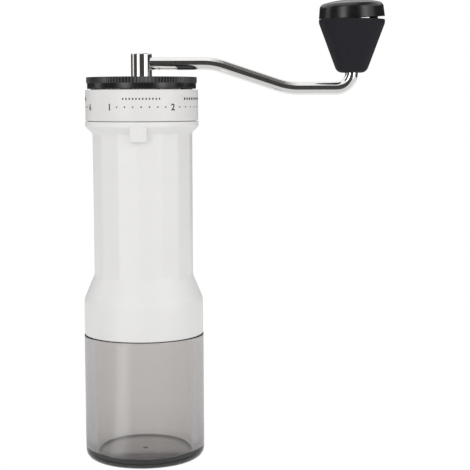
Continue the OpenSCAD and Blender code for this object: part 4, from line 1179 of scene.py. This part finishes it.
class GRINDER_OT_stage(bpy.types.Operator):
    """Set up the camera, the paper, the world, the lamps and the cards"""

    bl_idname = "grinder.stage"
    bl_label = "Stage"

    def execute(self, context):
        scene = context.scene
        scene.view_settings.view_transform = "Standard"
        self.camera(scene)
        self.world(scene)
        self.paper(scene)
        self.lamp(scene, "key_lamp", degrees=-31.0, width=0.24, height=0.8, power=1.35)
        self.lamp(scene, "fill_lamp", degrees=47.0, width=0.28, height=0.8, power=1.2)
        front = self.lamp(scene, "front_lamp", degrees=6.0, width=0.5, height=0.5, power=0.42)
        front.visible_glossy = False
        self.card("dark_card_front", self.bent(first=-17.0, last=34.0, near=0.40, high=1.8), DARK_FELT)
        self.card("dark_card_left", self.bent(first=-89.0, last=-47.0, near=0.40, high=1.55), DARK_FELT)
        self.card("dark_card_far_left", self.bent(first=-180.0, last=-108.0, near=1.1, high=0.6), DARK_FELT)
        self.card("dark_card_right", self.bent(first=78.0, last=180.0, near=1.1, high=0.6), DARK_FELT)
        over = self.hung(centre=(0.64, -0.15, 1.5), width=1.08, depth=2.0)
        self.card("grey_card_over", over, GREY_FELT, fade=(0.14, 0.46))
        return {"FINISHED"}

    def camera(self, scene):
        """A long lens at the photograph's height and slight downward tilt."""
        data = bpy.data.cameras.new("camera")
        data.lens = 100.0
        data.sensor_width = 36.0
        camera = bpy.data.objects.new("camera", data)
        scene.collection.objects.link(camera)
        turned = Matrix.Rotation(math.radians(83.97), 4, "X") @ Matrix.Rotation(math.radians(-0.19), 4, "Z")
        camera.matrix_world = Matrix.Translation((44.51 * MM, -630.0 * MM, 175.36 * MM)) @ turned
        scene.camera = camera

    def world(self, scene):
        """A white surround that lights the grinder less than it shows."""
        world = bpy.data.worlds.new("studio_white")
        tree = Tree(world)
        white = (1.0, 1.0, 1.0, 1.0)
        light = tree.nodes["Background"]
        tree.fill(light, {"Color": white, "Strength": 0.86})
        shown = tree.node("ShaderNodeBackground", {"Color": white, "Strength": 1.0})
        ways = tree.ways()
        seen = tree.worked("MAXIMUM", ways["Is Camera Ray"], ways["Is Glossy Ray"])
        seen = tree.worked("MAXIMUM", seen, ways["Is Transmission Ray"])
        tree.show("World Output", seen, light.outputs["Background"], shown.outputs["Background"])
        scene.world = world

    def paper(self, scene):
        """White paper under the grinder that glows with a brightness of its own for each way that a ray
        comes: evenly white to the camera, with a painted shadow where it is seen through the cup and painted
        light where it is seen in reflections.
        """
        shape = bmesh.new()
        under = Matrix.Translation((0.0, 0.0, -0.05 * MM))
        bmesh.ops.create_grid(shape, x_segments=1, y_segments=1, size=3.0, matrix=under)
        paper = piece_from(shape, "paper")
        finish = Finish("white_paper")
        finish.shade(finish.noise(400.0, 4.0), scene.grinder_colours.floor, 0.99, 1.01)
        finish.fill(finish.surface, {"Roughness": 0.3})
        ways = finish.ways()
        straight = ways["Is Camera Ray"]
        through = ways["Is Transmission Ray"]
        mirrored = finish.times(ways["Is Glossy Ray"], ways["Is Reflection Ray"])
        # Painted light in reflections: the paper grows brighter towards the back
        rising = finish.spread(finish.along("Y"), first=-20.0 * MM, last=80.0 * MM, low=0.68, high=0.92)
        bright = finish.times(mirrored, rising)
        bright = finish.times(mirrored, self.stripe(finish), bright)
        bright = finish.times(straight, PAPER_WHITE, bright)
        bright = finish.times(through, self.shadow(finish), bright)
        glow = finish.node("ShaderNodeEmission", {"Strength": bright})
        glow_share = 0.0
        for way in (straight, through, mirrored):
            glow_share = finish.times(way, PAPER_GLOW, glow_share)
        finish.show("Material Output", glow_share, finish.surface.outputs["BSDF"], glow.outputs["Emission"])
        paper.data.materials.append(finish.material)

    def shadow(self, finish):
        """Painted shadow of the paper as seen through the cup: how bright it is by its distance from the
        axis, darker towards the front.
        """
        white = finish.rings((
            (0.0, 0.31), (20.0, 0.31), (23.5, 0.04), (28.5, 0.04), (32.5, 0.45), (50.0, 0.85), (110.0, 0.93)
        ))
        rising = finish.spread(finish.along("Y"), first=-20.0 * MM, last=15.0 * MM, low=0.7, high=1.1)
        return finish.times(white, rising)

    def stripe(self, finish):
        """Light that the paper throws back below the key lamp, by the angle round the grinder."""
        behind = finish.times(finish.along("Y"), -1.0)
        angle = finish.worked("ARCTAN2", finish.along("X"), behind)
        turn_share = finish.times(angle, 1.0 / math.tau, 0.5)
        steps = ((-180.0, 0.0), (-54.0, 0.0), (-42.0, 1.0), (-32.0, 1.0), (-18.0, 0.0), (180.0, 0.0))
        in_sector = finish.steps(turn_share, [(degrees / 360.0 + 0.5, bright) for degrees, bright in steps])
        in_ring = finish.rings((
            (0.0, 0.0), (40.0, 0.0), (55.0, 1.0), (340.0, 1.0), (390.0, 0.0), (400.0, 0.0)
        ))
        return finish.times(finish.times(in_sector, in_ring), STRIPE_LIGHT)

    def lamp(self, scene, name, degrees, width, height, power):
        """A soft lamp on a ring round the grinder, turned from the front, that points at its middle."""
        data = bpy.data.lights.new(name, "AREA")
        data.shape = "RECTANGLE"
        data.size = width
        data.size_y = height
        data.energy = power
        lamp = bpy.data.objects.new(name, data)
        scene.collection.objects.link(lamp)
        angle = math.radians(degrees)
        place = Vector((math.sin(angle), -math.cos(angle), LAMP_Z))
        aim = LAMP_TARGET - place
        lamp.matrix_world = Matrix.Translation(place) @ aim.to_track_quat("-Z", "Y").to_matrix().to_4x4()
        return lamp

    def bent(self, first, last, near, high):
        """Shape of a curved card round the grinder, between two angles, with a foot along the paper."""
        shape = bmesh.new()
        corners = ((near, CARD_FOOT_Z), (CARD_R, CARD_FOOT_Z), (CARD_R, high))
        sector(shape, corners, math.radians(first - 90.0), math.radians(last - first), steps=16, closed=False)
        return shape

    def hung(self, centre, width, depth):
        """Shape of a flat card overhead."""
        shape = bmesh.new()
        place = Matrix.Translation(centre) @ Matrix.Diagonal((width / 2, depth / 2, 1.0, 1.0))
        bmesh.ops.create_grid(shape, x_segments=1, y_segments=1, size=1.0, matrix=place)
        return shape

    def card(self, name, shape, felt, fade=None):
        """A felt card that only polished faces show, which may fade in from left to right."""
        card = piece_from(shape, name)
        finish = Finish(name + "_felt")
        finish.shade(finish.noise(300.0, 3.0), felt, 0.9, 1.1)
        finish.fill(finish.surface, {"Roughness": 1.0})
        clear = finish.node("ShaderNodeBsdfTransparent", {})
        see_through = finish.ways()["Is Transmission Ray"]
        if fade:
            faded = finish.spread(finish.along("X"), *fade, low=1.0, high=0.0)
            see_through = finish.worked("MAXIMUM", see_through, faded)
        finish.show("Material Output", see_through, finish.surface.outputs["BSDF"], clear.outputs["BSDF"])
        card.data.materials.append(finish.material)
        card.visible_camera = False
        card.visible_diffuse = False
        card.visible_transmission = False
        card.visible_shadow = False


class GRINDER_PT_panel(bpy.types.Panel):
    """Lists the grinder's pieces in the sidebar"""

    bl_idname = "GRINDER_PT_panel"
    bl_label = "Hand Coffee Grinder"
    bl_space_type = "VIEW_3D"
    bl_region_type = "UI"
    bl_category = "Grinder"

    def draw(self, context):
        for operator in operators:
            self.layout.operator(operator.bl_idname)


groups = {
    "grinder_body": GrinderBodySizes,
    "grinder_dial": GrinderDialSizes,
    "grinder_lid": GrinderLidSizes,
    "grinder_crank": GrinderCrankSizes,
    "grinder_knob": GrinderKnobSizes,
    "grinder_cup": GrinderCupSizes,
    "grinder_colours": GrinderColours,
}

operators = (
    GRINDER_OT_stage,
    GRINDER_OT_body,
    GRINDER_OT_dial,
    GRINDER_OT_lid,
    GRINDER_OT_crank,
    GRINDER_OT_knob,
    GRINDER_OT_cup,
    GRINDER_OT_inner_parts,
)


def register():
    """Register the groups, the operators and the panel."""
    for name, group in groups.items():
        bpy.utils.register_class(group)
        setattr(bpy.types.Scene, name, bpy.props.PointerProperty(type=group))
    for operator in operators:
        bpy.utils.register_class(operator)
    bpy.utils.register_class(GRINDER_PT_panel)


def unregister():
    """Take the panel, the operators and the groups away again."""
    bpy.utils.unregister_class(GRINDER_PT_panel)
    for operator in reversed(operators):
        bpy.utils.unregister_class(operator)
    for name, group in reversed(groups.items()):
        delattr(bpy.types.Scene, name)
        bpy.utils.unregister_class(group)


def main():
    """Build every piece in order."""
    register()
    bpy.ops.grinder.stage()
    bpy.ops.grinder.body()
    bpy.ops.grinder.dial()
    bpy.ops.grinder.lid()
    bpy.ops.grinder.crank()
    bpy.ops.grinder.knob()
    bpy.ops.grinder.cup()
    bpy.ops.grinder.inner_parts()


if __name__ == "__main__":
    main()
